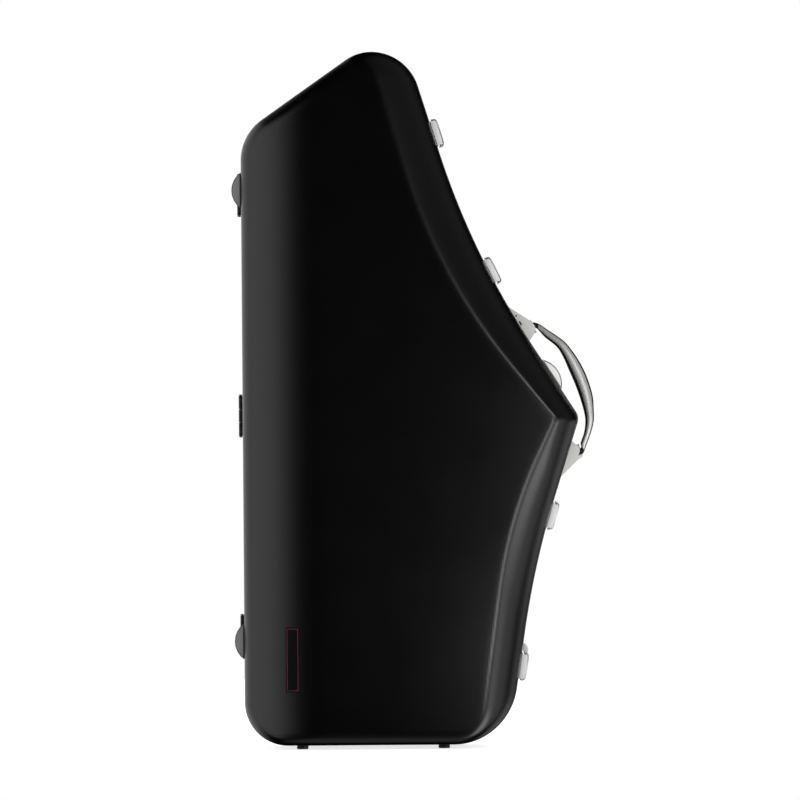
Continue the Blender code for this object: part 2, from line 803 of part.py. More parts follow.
def build_foams(builder, outline, lid, base):
    """The two foam linings, with matching recesses for both instruments and their small parts."""
    pouch_x, pouch_z = POUCH_CENTRE
    recesses = (
        ("alto_body", ALTO_BODY_TOP, ALTO_NECK_RADIUS, ALTO_BODY_FOOT, ALTO_FOOT_RADIUS,
         ALTO_BODY_RECESS),
        ("alto_bow", ALTO_BODY_FOOT, ALTO_FOOT_RADIUS, ALTO_BOW_END, ALTO_BOW_RADIUS,
         ALTO_BOW_RECESS),
        ("alto_bell", ALTO_BOW_END, ALTO_BOW_RADIUS, ALTO_BELL, ALTO_BELL_RADIUS,
         ALTO_BELL_RECESS),
        ("soprano", SOPRANO_BELL, SOPRANO_BELL_RADIUS, SOPRANO_TOP, SOPRANO_TOP_RADIUS,
         SOPRANO_RECESS),
        ("pouch", (pouch_x - POUCH_HALF_LENGTH, pouch_z), POUCH_RADIUS,
         (pouch_x + POUCH_HALF_LENGTH, pouch_z), POUCH_RADIUS, POUCH_RECESS),
    )
    rim_inside = SHELL_WALL + FIT_GAP + RIM_WIDTH + FIT_GAP
    below_rim = SEAM_GAP + RIM_DEPTH + FIT_GAP
    skin = SHELL_WALL + FOAM_CLEARANCE
    for name, half in (("base_bed", base), ("lid_pad", lid)):
        rim_rows = [(rim_inside, FOAM_TOP), (rim_inside, below_rim), (skin, below_rim)]
        foam = half_mesh(name, outline, half, skin, rim_rows, closed=True)
        builder.place(foam, FOAM)
        for label, start, start_radius, end, end_radius, depth in recesses:
            low, high = sorted((half.facing * (FOAM_TOP - OVERRUN), half.facing * depth))
            cutter = tapered_slot(f"{name}_{label}_cutter", start, start_radius, end, end_radius,
                                  low, high)
            builder.cut(foam, cutter)


def build_retaining_straps(builder):
    """Flat webbing straps that lie across the two long recesses."""
    def strap(name, left, right, z):
        steps = RECESS_STEPS
        top, bottom = [], []
        for step in range(steps + 1):
            share = step / steps
            x = left + (right - left) * share
            y = FOAM_TOP - FIT_GAP - STRAP_RISE * math.sin(math.pi * share) ** 2
            bottom.append((x, y))
            top.append((x, y - STRAP_THICKNESS))
        outline = bottom + top[::-1]
        solid = flat_outline(name, outline, z - STRAP_WIDTH / 2, z + STRAP_WIDTH / 2)
        builder.place(solid, WEBBING, frame=Matrix(((1, 0, 0, 0), (0, 0, 1, 0), (0, 1, 0, 0),
                                                    (0, 0, 0, 1))))
        solid.data.flip_normals()

    def slot_sides(top, top_radius, foot, foot_radius, z):
        share = (z - foot[1]) / (top[1] - foot[1])
        middle = foot[0] + (top[0] - foot[0]) * share
        radius = foot_radius + (top_radius - foot_radius) * share
        return middle - radius - STRAP_LAP, middle + radius + STRAP_LAP

    left, right = slot_sides(ALTO_BODY_TOP, ALTO_NECK_RADIUS, ALTO_BODY_FOOT, ALTO_FOOT_RADIUS,
                             ALTO_STRAP_Z)
    strap("alto_strap", left, right, ALTO_STRAP_Z)
    left, right = slot_sides(SOPRANO_TOP, SOPRANO_TOP_RADIUS, SOPRANO_BELL, SOPRANO_BELL_RADIUS,
                             SOPRANO_STRAP_Z)
    strap("soprano_strap", left + STRAP_LAP / 2, right - STRAP_LAP / 2, SOPRANO_STRAP_Z)


def build_hinges(builder):
    """Three butt hinges on the spine: two leaves with knuckles and a headed pin each."""
    third = (HINGE_LENGTH - 2 * KNUCKLE_GAP) / 3
    heights = (LOWER_HINGE_Z, MIDDLE_HINGE_Z, CASE_SPINE_HEIGHT - UPPER_HINGE_DROP)
    for label, middle in zip(("lower", "middle", "upper"), heights):
        low = middle - HINGE_LENGTH / 2
        high = middle + HINGE_LENGTH / 2
        spans = {
            "base": [(low, low + third), (high - third, high)],
            "lid": [(low + third + KNUCKLE_GAP, high - third - KNUCKLE_GAP)],
        }
        for side, facing in (("base", 1), ("lid", -1)):
            name = f"{label}_hinge_{side}_leaf"
            near, far = sorted((facing * LEAF_NEAR, facing * LEAF_FAR))
            plate_in, plate_out = -FIT_GAP, -FIT_GAP - LEAF_THICKNESS
            pieces = [box(name, (plate_out, near, low), (plate_in, far, high))]
            for start, end in spans[side]:
                web_near, web_far = sorted((0, facing * (LEAF_NEAR + OVERRUN)))
                pieces.append(box(f"{name}_web", (plate_out, web_near, start),
                                  (plate_in, web_far, end)))
                pieces.append(rod(f"{name}_knuckle", (-HINGE_AXIS_OUT, 0, start),
                                  (-HINGE_AXIS_OUT, 0, end), KNUCKLE_RADIUS, SMALL_SIDES))
            leaf = merged(name, pieces)
            bore = rod(f"{name}_bore", (-HINGE_AXIS_OUT, 0, low - OVERRUN),
                       (-HINGE_AXIS_OUT, 0, high + OVERRUN), HINGE_BORE, SMALL_SIDES)
            builder.place(carved(name, leaf, [bore]), HINGE, origin=(-HINGE_AXIS_OUT, 0, middle))
        name = f"{label}_hinge_pin"
        head_low = low - FIT_GAP
        head_high = high + FIT_GAP
        pin = merged(name, [
            rod(name, (-HINGE_AXIS_OUT, 0, head_low - HINGE_HEAD_LENGTH),
                (-HINGE_AXIS_OUT, 0, head_high + HINGE_HEAD_LENGTH), HINGE_PIN_RADIUS, SMALL_SIDES),
            rod("head", (-HINGE_AXIS_OUT, 0, head_low - HINGE_HEAD_LENGTH),
                (-HINGE_AXIS_OUT, 0, head_low), HINGE_HEAD_RADIUS, SMALL_SIDES),
            rod("head", (-HINGE_AXIS_OUT, 0, head_high),
                (-HINGE_AXIS_OUT, 0, head_high + HINGE_HEAD_LENGTH), HINGE_HEAD_RADIUS, SMALL_SIDES),
        ])
        builder.place(pin, HINGE, origin=(-HINGE_AXIS_OUT, 0, middle))


def wall_frame(outline, z):
    """Frame on the handle side: x outwards from the wall, y across the seam, z up the wall."""
    point, normal = outline.at_z(z)
    out = Vector((normal.x, 0, normal.y))
    across = Vector((0, 1, 0))
    up = out.cross(across)
    frame = Matrix((out, across, up)).transposed().to_4x4()
    frame.translation = (point.x, 0, point.y)
    return frame


def lever_points():
    """Section of a latch lever: a channel, open towards the wall, with round shoulders."""
    half = LATCH_WIDTH / 2
    outer, inner = [], []
    for shift, radius, points in ((0, LEVER_CORNER, outer),
                                  (LEVER_SKIN, LEVER_CORNER - LEVER_SKIN, inner)):
        top = LATCH_PROUD - shift
        side = half - shift
        for sign in (1, -1):
            arc = []
            for step in range(4):
                angle = SQUARE_TURN * step / 3
                arc.append((top - radius + radius * math.sin(angle),
                            sign * (side - radius + radius * math.cos(angle))))
            points.extend(arc if sign > 0 else arc[::-1])
        points.insert(0, (LEVER_LIFT, side))
        points.append((LEVER_LIFT, -side))
    return outer + inner[::-1]


def shield_points(back):
    """Outline of a keeper's front shield, with two round outer corners."""
    half = SHIELD_WIDTH / 2
    points = [(back, -half)]
    for sign in (-1, 1):
        for step in range(4):
            angle = SQUARE_TURN * (step if sign < 0 else 3 - step) / 3
            points.append((back + SHIELD_HEIGHT - SHIELD_CORNER * (1 - math.sin(angle)),
                           sign * (half - SHIELD_CORNER * (1 - math.cos(angle)))))
    return points + [(back, half)]


def build_latches(builder, outline):
    """Four draw latches: base plate with ears, lever, hook, and the lid's keeper."""
    half = LATCH_WIDTH / 2
    cheek_inside = half - LEVER_SKIN
    plate_back = WALL_GAP
    plate_front = plate_back + LATCH_PLATE_THICKNESS
    ear_outside = EAR_INSIDE + EAR_THICKNESS
    for number, z in enumerate(LATCH_HEIGHTS, start=1):
        frame = wall_frame(outline, z)
        pivot = frame @ Vector((PIVOT_OUT, PIVOT_Y, 0))
        hook_pivot = frame @ Vector((HOOK_PIVOT_OUT, HOOK_PIVOT_Y, 0))

        name = f"latch_{number}_plate"
        pieces = [box(name, (plate_back, LATCH_PLATE_NEAR, -LATCH_PLATE_WIDTH / 2),
                      (plate_front, LATCH_PLATE_FAR, LATCH_PLATE_WIDTH / 2))]
        for sign in (1, -1):
            low, high = sorted((sign * EAR_INSIDE, sign * ear_outside))
            pieces.append(box("ear", (plate_back, PIVOT_Y - EAR_RADIUS, low),
                              (PIVOT_OUT, PIVOT_Y + EAR_RADIUS, high)))
            pieces.append(rod("ear_round", (PIVOT_OUT, PIVOT_Y, low), (PIVOT_OUT, PIVOT_Y, high),
                              EAR_RADIUS, SMALL_SIDES))
            pieces.append(rod("stub", (PIVOT_OUT, PIVOT_Y, sign * (EAR_INSIDE + EAR_THICKNESS / 2)),
                              (PIVOT_OUT, PIVOT_Y, sign * (half - FIT_GAP)), STUB_RADIUS,
                              SMALL_SIDES))
        builder.place(merged(name, pieces), STEEL, frame=frame)

        name = f"latch_{number}_lever"
        skin = flat_outline(name, lever_points(), CHEEK_NEAR, LEVER_FAR)
        slot_half = HOOK_HALF_WIDTH + 2 * FIT_GAP
        windows = [box("window", (LATCH_PROUD - LEVER_CORNER, CHEEK_NEAR - OVERRUN, -side),
                       (LATCH_PROUD + OVERRUN, reach, side))
                   for reach, side in ((LEVER_NEAR, cheek_inside), (ARM_SLOT_FAR, slot_half))]
        bores = [rod("bore", (out, y, -half - OVERRUN), (out, y, half + OVERRUN),
                     STUB_RADIUS + FIT_GAP, SMALL_SIDES)
                 for out, y in ((PIVOT_OUT, PIVOT_Y), (HOOK_PIVOT_OUT, HOOK_PIVOT_Y))]
        builder.place(carved(name, skin, windows + bores), STEEL, frame=frame, origin=pivot)

        name = f"latch_{number}_hook"
        arm_low = HOOK_PIVOT_OUT - HOOK_THICKNESS / 2
        arm_high = HOOK_PIVOT_OUT + HOOK_THICKNESS / 2
        tip_near = -HOOK_TIP_Y
        tip_far = -HOOK_TIP_Y + HOOK_THICKNESS
        hook = merged(name, [
            box(name, (arm_low, tip_near, -HOOK_HALF_WIDTH),
                (arm_high, HOOK_PIVOT_Y, HOOK_HALF_WIDTH)),
            box("tip", (HOOK_TIP_OUT, tip_near, -HOOK_HALF_WIDTH),
                (arm_high, tip_far, HOOK_HALF_WIDTH)),
            rod("trunnion", (HOOK_PIVOT_OUT, HOOK_PIVOT_Y, -half + FIT_GAP),
                (HOOK_PIVOT_OUT, HOOK_PIVOT_Y, half - FIT_GAP), STUB_RADIUS, SMALL_SIDES),
        ])
        builder.place(hook, STEEL, frame=frame, origin=hook_pivot)

        name = f"latch_{number}_keeper"
        lip_near = tip_far + FIT_GAP
        keeper = merged(name, [
            box(name, (plate_back, -KEEPER_FAR, -KEEPER_WIDTH / 2),
                (plate_back + KEEPER_THICKNESS, -KEEPER_NEAR, KEEPER_WIDTH / 2)),
            box("lip", (plate_back, lip_near, -HOOK_HALF_WIDTH),
                (arm_low - FIT_GAP, lip_near + KEEPER_LIP, HOOK_HALF_WIDTH)),
            flat_outline("shield", shield_points(plate_back), -SHIELD_NEAR - SHIELD_THICKNESS,
                         -SHIELD_NEAR),
        ])
        builder.place(keeper, STEEL, frame=frame)

    points = [(0, 0)]
    for step in range(RECESS_STEPS + 1):
        angle = SQUARE_TURN * step / RECESS_STEPS
        points.append((CAP_PROUD * math.cos(angle), CAP_LENGTH * math.sin(angle)))
    cap = flat_outline("latch_1_cap", points, -CAP_NEAR - CAP_WIDTH, -CAP_NEAR)
    builder.place(cap, GREY_PLASTIC,
                  frame=wall_frame(outline, CAP_Z) @ Matrix.Translation((WALL_GAP, 0, 0)))


def handle_axis(outline):
    """Frame of the handle's axis: x outwards, y across, z from the lower to the upper pivot."""
    across = Matrix.Translation((0, HANDLE_Y, 0))
    top = wall_frame(outline, UPPER_PIVOT_Z) @ across @ Vector((UPPER_PIVOT_OUT, 0, 0))
    foot = wall_frame(outline, LOWER_PIVOT_Z) @ across @ Vector((LOWER_PIVOT_OUT, 0, 0))
    up = (top - foot).normalized()
    out = Vector((0, 1, 0)).cross(up)
    frame = Matrix((out, Vector((0, 1, 0)), up)).transposed().to_4x4()
    frame.translation = foot
    return frame, (top - foot).length


def grip_mesh(name, length):
    """The arched grip along z: rounded sections that swell in its middle, with a neck at each end."""
    near, far = KNUCKLE_SIDE_GAP * 3, KNUCKLE_SIDE_GAP + KNUCKLE_LENGTH
    sections = []
    for z, way in ((length, -1), (0, 1)):
        sections.append([(z - way * far, GRIP_REACH * 0), (z - way * near, GRIP_REACH * 0), NECK_WIDTH])
        sections.append([(z - way * far, NECK_RISE), (z - way * near, NECK_RISE), NECK_WIDTH])
    body = [[(length * (1 - a), GRIP_REACH * b), (length * (1 - c), GRIP_REACH * d), GRIP_WIDTH * w]
            for a, b, c, d, w in GRIP_SHARES]
    sections = sections[:2] + body + sections[:1:-1]
    mesh = bmesh.new()
    rings = []
    for (outer_z, outer_x), (inner_z, inner_x), width in sections:
        outer, inner = Vector((outer_x, 0, outer_z)), Vector((inner_x, 0, inner_z))
        middle, thick = (outer + inner) / 2, (outer - inner) / 2
        ring = []
        for side in range(GRIP_SIDES):
            angle = math.tau * (side + 0.5) / GRIP_SIDES
            u, v = (math.copysign(abs(share) ** GRIP_SQUARE_SHARE, share)
                    for share in (math.cos(angle), math.sin(angle)))
            ring.append(mesh.verts.new(middle + thick * u + Vector((0, v * width / 2, 0))))
        rings.append(ring)
    for ring, following in zip(rings, rings[1:]):
        for k in range(GRIP_SIDES):
            after = (k + 1) % GRIP_SIDES
            mesh.faces.new((ring[k], ring[after], following[after], following[k]))
    mesh.faces.new(rings[0])
    mesh.faces.new(rings[-1])
    bmesh.ops.recalc_face_normals(mesh, faces=mesh.faces)
    return to_object(name, mesh)


def build_handle(builder, outline):
    """Carrying handle on the base: two brackets with ears, two pins and the arched grip."""
    frame, length = handle_axis(outline)
    pocket = KNUCKLE_LENGTH + 2 * KNUCKLE_SIDE_GAP
    grip_parts = [grip_mesh("handle_grip", length)]
    grip_bores = []
    for label, z, way, span in (("upper", length, 1, UPPER_BRACKET_SPAN),
                                ("lower", 0, -1, LOWER_BRACKET_SPAN)):
        def along(distance):
            return z + way * distance

        inner_z, outer_z = span
        feet = [outline.at_z(outer_z + (inner_z - outer_z) * step / 4) for step in range(5)]
        foot_line = [point + normal * WALL_GAP for point, normal in feet]
        top_line = []
        for x, distance in ((-BRACKET_FLOOR, -EAR_LENGTH), (-BRACKET_FLOOR, pocket),
                            (-BRACKET_SHOULDER, pocket), (-BRACKET_SHOULDER, pocket + EAR_LENGTH)):
            corner = frame @ Vector((x, 0, along(distance)))
            top_line.append(Vector((corner.x, corner.z)))
        name = f"{label}_handle_bracket"
        body = flat_outline(name, foot_line + top_line, HANDLE_Y - BRACKET_WIDTH / 2,
                            HANDLE_Y + BRACKET_WIDTH / 2)
        body.data.transform(frame.inverted())
        pieces = [body]
        for start, end, end_radius in ((0, -EAR_LENGTH, BOSS_RADIUS),
                                       (pocket, pocket + EAR_LENGTH, BOSS_END_RADIUS)):
            low, high = sorted((along(start), along(end)))
            pieces.append(rod("boss", (0, 0, along(start)), (0, 0, along(end)), BOSS_RADIUS,
                              SMALL_SIDES, end_radius))
            pieces.append(box("web", (-BRACKET_FLOOR - FIT_GAP, -EAR_WEB_WIDTH / 2, low),
                              (0, EAR_WEB_WIDTH / 2, high)))
        bore = rod("bore", (0, 0, along(-EAR_LENGTH - OVERRUN)),
                   (0, 0, along(pocket + EAR_LENGTH + OVERRUN)), HANDLE_PIN_RADIUS + FIT_GAP,
                   SMALL_SIDES)
        builder.place(carved(name, merged(name, pieces), [bore]), GREY_PLASTIC, frame=frame)
        pin = rod(f"{label}_handle_pin", (0, 0, along(-EAR_LENGTH)), (0, 0, along(pocket + EAR_LENGTH)),
                  HANDLE_PIN_RADIUS, SMALL_SIDES)
        builder.place(pin, STEEL, frame=frame)
        knuckle = (along(KNUCKLE_SIDE_GAP), along(KNUCKLE_SIDE_GAP + KNUCKLE_LENGTH))
        grip_parts.append(rod("knuckle", (0, 0, knuckle[0]), (0, 0, knuckle[1]), BOSS_RADIUS,
                              SMALL_SIDES))
        grip_bores.append(rod("bore", (0, 0, along(-OVERRUN)), (0, 0, along(pocket + OVERRUN)),
                              HANDLE_PIN_RADIUS + FIT_GAP, SMALL_SIDES))
    grip = carved("handle_grip", merged("handle_grip", grip_parts), grip_bores)
    builder.place(grip, GRIP, frame=frame, origin=frame @ Vector((0, 0, length / 2)))


def build_bumpers(builder, outline):
    """Four half-moon bumpers along the spine, and the half-moon rest under the grip."""
    shape = segment_points(BUMPER_LENGTH, BUMPER_PROUD, ROUND_SIDES // 2)
    heights = (LOWER_BUMPER_Z, CASE_SPINE_HEIGHT - UPPER_BUMPER_DROP)
    for side, facing in (("base", 1), ("lid", -1)):
        low, high = sorted((facing * BUMPER_NEAR, facing * BUMPER_FAR))
        for label, z in zip(("lower", "upper"), heights):
            bumper = flat_outline(f"{label}_{side}_bumper", shape, low, high)
            builder.place(bumper, BUMPER, frame=Matrix.Translation((-FIT_GAP, 0, z)))
            bevel(bumper, BUMPER_BEVEL)
    shape = [(-x, z) for x, z in reversed(segment_points(REST_LENGTH, REST_PROUD, ROUND_SIDES // 2))]
    rest = flat_outline("grip_rest", shape, HANDLE_Y - REST_WIDTH / 2, HANDLE_Y + REST_WIDTH / 2)
    builder.place(rest, GREY_PLASTIC,
                  frame=wall_frame(outline, REST_Z) @ Matrix.Translation((WALL_GAP, 0, 0)))
    bevel(rest, BUMPER_BEVEL)


def build_feet(builder):
    """Two turned rubber feet under each shell."""
    for side, y in (("base", BASE_FOOT_Y), ("lid", -LID_FOOT_Y)):
        for label, x in zip(("inner", "outer"), (INNER_FOOT_X, CASE_FOOT_WIDTH - OUTER_FOOT_IN)):
            foot = rod(f"{label}_{side}_foot", (x, y, -FOOT_HEIGHT), (x, y, -FIT_GAP), FOOT_RADIUS)
            builder.place(foot, RUBBER, origin=(x, y, -FOOT_HEIGHT))
            bevel(foot, FOOT_BEVEL)


def build_anchors(builder):
    """Three strap anchors on the back, each a sleeve on a plate with a hanging D-ring."""
    back = BASE_DEPTH + FIT_GAP
    axis_y = back + ANCHOR_PLATE + RING_WIRE + WALL_GAP
    for number, (x, z) in enumerate(ANCHOR_PLACES, start=1):
        name = f"strap_anchor_{number}"
        body = merged(name, [
            box(name, (x - ANCHOR_WIDTH / 2, back, z - ANCHOR_HEIGHT / 2),
                (x + ANCHOR_WIDTH / 2, back + ANCHOR_PLATE, z + ANCHOR_HEIGHT / 2)),
            rod("sleeve", (x - ANCHOR_TUNNEL / 2, axis_y, z), (x + ANCHOR_TUNNEL / 2, axis_y, z),
                RING_WIRE + FIT_GAP + SLEEVE_WALL, ROUND_SIDES),
        ])
        bore = rod("bore", (x - ANCHOR_WIDTH, axis_y, z), (x + ANCHOR_WIDTH, axis_y, z),
                   RING_WIRE + FIT_GAP, SMALL_SIDES)
        builder.place(carved(name, body, [bore]), RIM)

        name = f"d_ring_{number}"
        curve = bpy.data.curves.new(name, "CURVE")
        curve.dimensions = "3D"
        curve.bevel_depth = RING_WIRE
        curve.bevel_resolution = 1
        points = [Vector((-RING_HALF_WIDTH, 0, 0))]
        for step in range(RING_STEPS + 1):
            angle = math.pi * (1 + step / RING_STEPS)
            points.append(Vector((math.cos(angle), 0, math.sin(angle))) * RING_HALF_WIDTH
                          - Vector((0, 0, RING_DROP)))
        points.append(Vector((RING_HALF_WIDTH, 0, 0)))
        place = Vector((x, axis_y, z))
        ring = to_object(name, curve_mesh(name, curve, points))
        builder.place(ring, STEEL, frame=Matrix.Translation(place), origin=place)


def centre_on_origin(builder):
    """Move the whole case so that the middle of its underside is at the origin."""
    bpy.context.view_layer.update()
    graph = bpy.context.evaluated_depsgraph_get()
    corners = []
    for obj in builder.parts.objects:
        if obj != builder.root:
            evaluated = obj.evaluated_get(graph)
            corners += [evaluated.matrix_world @ Vector(corner) for corner in evaluated.bound_box]
    low, high = ([pick(corner[i] for corner in corners) for i in range(3)] for pick in (min, max))
    builder.root.location = (-(low[0] + high[0]) / 2, -(low[1] + high[1]) / 2, -low[2])
    bpy.context.view_layer.update()


def main():
    """Build every piece, then stand the case over its origin."""
    parts, cutters = reset_scene()
    builder = Builder(parts, cutters)
    outline = case_outline()
    lid = Half(-1, LID_DEPTH, LID_SIDE_WALL, CREASE_TURN, crease_outline(outline))
    base = Half(1, BASE_DEPTH, BASE_SIDE_WALL, SQUARE_TURN, back_outline(outline))
    build_shells(builder, outline, lid, base)
    build_rims(builder, outline)
    build_foams(builder, outline, lid, base)
    build_retaining_straps(builder)
    build_hinges(builder)
    build_latches(builder, outline)
    build_handle(builder, outline)
    build_bumpers(builder, outline)
    build_feet(builder)
    build_anchors(builder)
    centre_on_origin(builder)


if __name__ == "__main__":
    main()
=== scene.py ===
"""Looks of a moulded double saxophone case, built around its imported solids.

Two lofted shells meet at a seam and open on a vertical spine. Each class below is one
sub-assembly: it holds its sizes, builds its meshes in the case's own frame (x from the
spine wall, y from the seam, z from the shell's underside), moves them into the row frame
and dresses them.
"""

import json
import logging
import math
from collections.abc import Callable, Iterable, Iterator, Sequence
from dataclasses import dataclass, field
from enum import StrEnum

import bmesh
import bpy
from mathutils import Matrix, Vector, noise

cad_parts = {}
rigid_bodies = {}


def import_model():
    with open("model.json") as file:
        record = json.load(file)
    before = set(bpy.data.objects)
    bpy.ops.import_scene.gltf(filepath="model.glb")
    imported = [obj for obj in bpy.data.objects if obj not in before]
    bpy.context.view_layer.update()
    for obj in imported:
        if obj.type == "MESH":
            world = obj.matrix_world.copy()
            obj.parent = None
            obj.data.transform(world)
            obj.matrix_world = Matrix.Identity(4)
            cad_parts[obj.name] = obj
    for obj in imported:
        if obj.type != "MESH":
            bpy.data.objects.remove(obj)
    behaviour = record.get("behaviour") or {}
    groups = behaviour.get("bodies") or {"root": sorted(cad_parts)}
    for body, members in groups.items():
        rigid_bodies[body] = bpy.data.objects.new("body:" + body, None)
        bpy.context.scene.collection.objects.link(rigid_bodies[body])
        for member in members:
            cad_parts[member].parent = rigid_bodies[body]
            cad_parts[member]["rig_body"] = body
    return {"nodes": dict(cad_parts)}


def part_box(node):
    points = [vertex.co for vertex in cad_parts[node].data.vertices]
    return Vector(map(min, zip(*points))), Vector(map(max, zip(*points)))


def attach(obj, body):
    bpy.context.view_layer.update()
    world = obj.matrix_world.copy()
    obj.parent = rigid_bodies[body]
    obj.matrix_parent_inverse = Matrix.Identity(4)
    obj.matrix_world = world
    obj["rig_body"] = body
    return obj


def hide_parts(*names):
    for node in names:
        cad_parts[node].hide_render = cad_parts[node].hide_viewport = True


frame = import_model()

MM = 0.001
QUARTER_TURN = math.radians(90)
SEAM_GAP = 0.4 * MM
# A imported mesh's points closer than this are one, and so are faces that turn by less
MERGE_REACH = 0.005 * MM
FLAT_TURN = math.radians(1.5)
log = logging.getLogger("saxophone_case")

Mesh = bmesh.types.BMesh
Ring = list[bmesh.types.BMVert]
Piece = bpy.types.Object
Node = bpy.types.Node
Socket = bpy.types.NodeSocket
Tree = bpy.types.NodeTree
Row = list[tuple[Vector, float]]


class Body(StrEnum):
    """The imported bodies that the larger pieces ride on; levers, hooks and rings have their own."""

    LID = "lid"
    BASE = "base"
    HANDLE = "handle"


class Slot(StrEnum):
    """The record's material slots."""

    SHELL = "black_moulded_shell"
    RIM = "black_rim"
    RUBBER = "dark_rubber"
    BUMPER = "grey_bumper"
    GREY_PLASTIC = "light_grey_plastic"
    GRIP = "grey_grip"
    STEEL = "satin_steel"
    HINGE = "black_steel"
    PLUSH = "lining_plush"
    WEBBING = "strap_webbing"


# ---- materials


def linear(hex_colour: str) -> tuple[float, float, float, float]:
    """Turns an sRGB hex colour into the linear colour that a socket takes.

    Args:
        hex_colour: The colour as six hex digits after a hash.

    Returns:
        Red, green and blue in linear light, with an alpha of 1.
    """
    parts = [int(hex_colour[i:i + 2], 16) / 255 for i in (1, 3, 5)]
    red, green, blue = (
        part / 12.92 if part <= 0.04045 else ((part + 0.055) / 1.055) ** 2.4 for part in parts
    )
    return red, green, blue, 1.0


def add_node(tree: Tree, kind: str, settings: dict | None = None,
             inputs: dict | None = None) -> Node:
    """Adds one node with its settings, values and links.

    Args:
        tree: The shader or geometry tree that takes the node.
        kind: The node's type name.
        settings: Property values by property name.
        inputs: Values, or sockets to link from, by input name or index.

    Returns:
        The new node.
    """
    node = tree.nodes.new(kind)
    for name, value in (settings or {}).items():
        setattr(node, name, value)
    for name, value in (inputs or {}).items():
        if isinstance(value, bpy.types.NodeSocket):
            tree.links.new(value, node.inputs[name])
        else:
            node.inputs[name].default_value = value
    return node


def combine(tree: Tree, operation: str, *values: float | Socket) -> Socket:
    """Joins values or sockets by one Math node and returns what it gives."""
    node = add_node(tree, "ShaderNodeMath", {"operation": operation}, dict(enumerate(values)))
    return node.outputs["Value"]


@dataclass(frozen=True)
class Drawing:
    """Draws patterns in a material's tree, at the Object coordinates."""

    tree: Tree
    place: Socket

    def moved(self, **change: Sequence[float]) -> Socket:
        """Returns the coordinates as one Mapping node changes them."""
        node = add_node(self.tree, "ShaderNodeMapping", inputs={"Vector": self.place} | change)
        return node.outputs["Vector"]

    def noise(self, size: float, detail: float, **more: float | Socket) -> Socket:
        """Draws noise with patches of size metres."""
        node = add_node(self.tree, "ShaderNodeTexNoise", inputs={
            "Vector": self.place, "Scale": 1 / size, "Detail": detail} | more)
        return node.outputs["Fac"]

    def cells(self, size: float) -> Socket:
        """Draws cells of size metres, each lowest in its middle."""
        node = add_node(self.tree, "ShaderNodeTexVoronoi", inputs={
            "Vector": self.place, "Scale": 1 / size})
        return node.outputs["Distance"]

    def threads(self, axis: str, pitch: float, inputs: dict) -> Socket:
        """Draws threads that follow one another along an axis, pitch metres apart."""
        # A wave's period is 2 pi / 20 of a unit at scale 1
        node = add_node(self.tree, "ShaderNodeTexWave", {"bands_direction": axis}, {
            "Vector": self.place, "Scale": math.tau / 20 / pitch} | inputs)
        return node.outputs["Fac"]


@dataclass(frozen=True)
class Finish:
    """A plain moulded or painted finish; the finishes below draw their own pattern.

    The colour drifts over shade_size, the roughness by patch_reach over patch_size, and the
    pattern is bump_depth deep.
    """

    name: str
    colour: str
    roughness: float
    metallic: float = 0.0
    ior: float = 1.5
    shade_size: float = 30 * MM
    second_colour: str = ""
    patch_size: float = 12 * MM
    patch_reach: float = 0.05
    bump_depth: float = 0.03 * MM
    bump_strength: float = 0.3
    grain: float = 0.5 * MM

    def material(self) -> bpy.types.Material:
        """Makes the material once and returns it."""
        known = bpy.data.materials.get(self.name)
        if known:
            return known
        made = bpy.data.materials.new(self.name)
        made.use_nodes = True
        tree = made.node_tree
        inputs = tree.nodes["Principled BSDF"].inputs
        inputs["Base Color"].default_value = linear(self.colour)
        inputs["Roughness"].default_value = self.roughness
        inputs["Metallic"].default_value = self.metallic
        if not self.metallic:
            inputs["IOR"].default_value = self.ior
        drawing = Drawing(tree, add_node(tree, "ShaderNodeTexCoord").outputs["Object"])
        if self.second_colour:
            tree.links.new(self.drifting_colour(drawing), inputs["Base Color"])
        if self.patch_reach:
            tree.links.new(self.drifting_roughness(drawing), inputs["Roughness"])
        self.set_pile(inputs)
        bump = add_node(tree, "ShaderNodeBump", inputs={
            "Height": self.pattern(drawing), "Distance": self.bump_depth,
            "Strength": self.bump_strength})
        tree.links.new(bump.outputs["Normal"], inputs["Normal"])
        return made

    def drifting_colour(self, drawing: Drawing) -> Socket:
        """Drifts the colour softly between the finish's two colours."""
        drift = drawing.noise(self.shade_size, 3.0)
        blend = add_node(drawing.tree, "ShaderNodeMix", {"data_type": "RGBA"}, {
            "Factor": drift, 6: linear(self.colour), 7: linear(self.second_colour)})
        return blend.outputs[2]

    def drifting_roughness(self, drawing: Drawing) -> Socket:
        """Lets the roughness drift, as handling and mould release leave it."""
        patches = drawing.noise(self.patch_size, 4.0)
        spread = add_node(drawing.tree, "ShaderNodeMapRange", inputs={
            "Value": patches, "From Min": 0.3, "From Max": 0.7,
            "To Min": self.roughness - self.patch_reach,
            "To Max": self.roughness + self.patch_reach})
        return spread.outputs["Result"]

    def set_pile(self, inputs: bpy.types.NodeInputs) -> None:
        """Sets what a pile adds to the shader; a hard finish has none."""

    def pattern(self, drawing: Drawing) -> Socket:
        """Draws the faint unevenness of a moulded surface."""
        return drawing.noise(self.grain, 2.0)


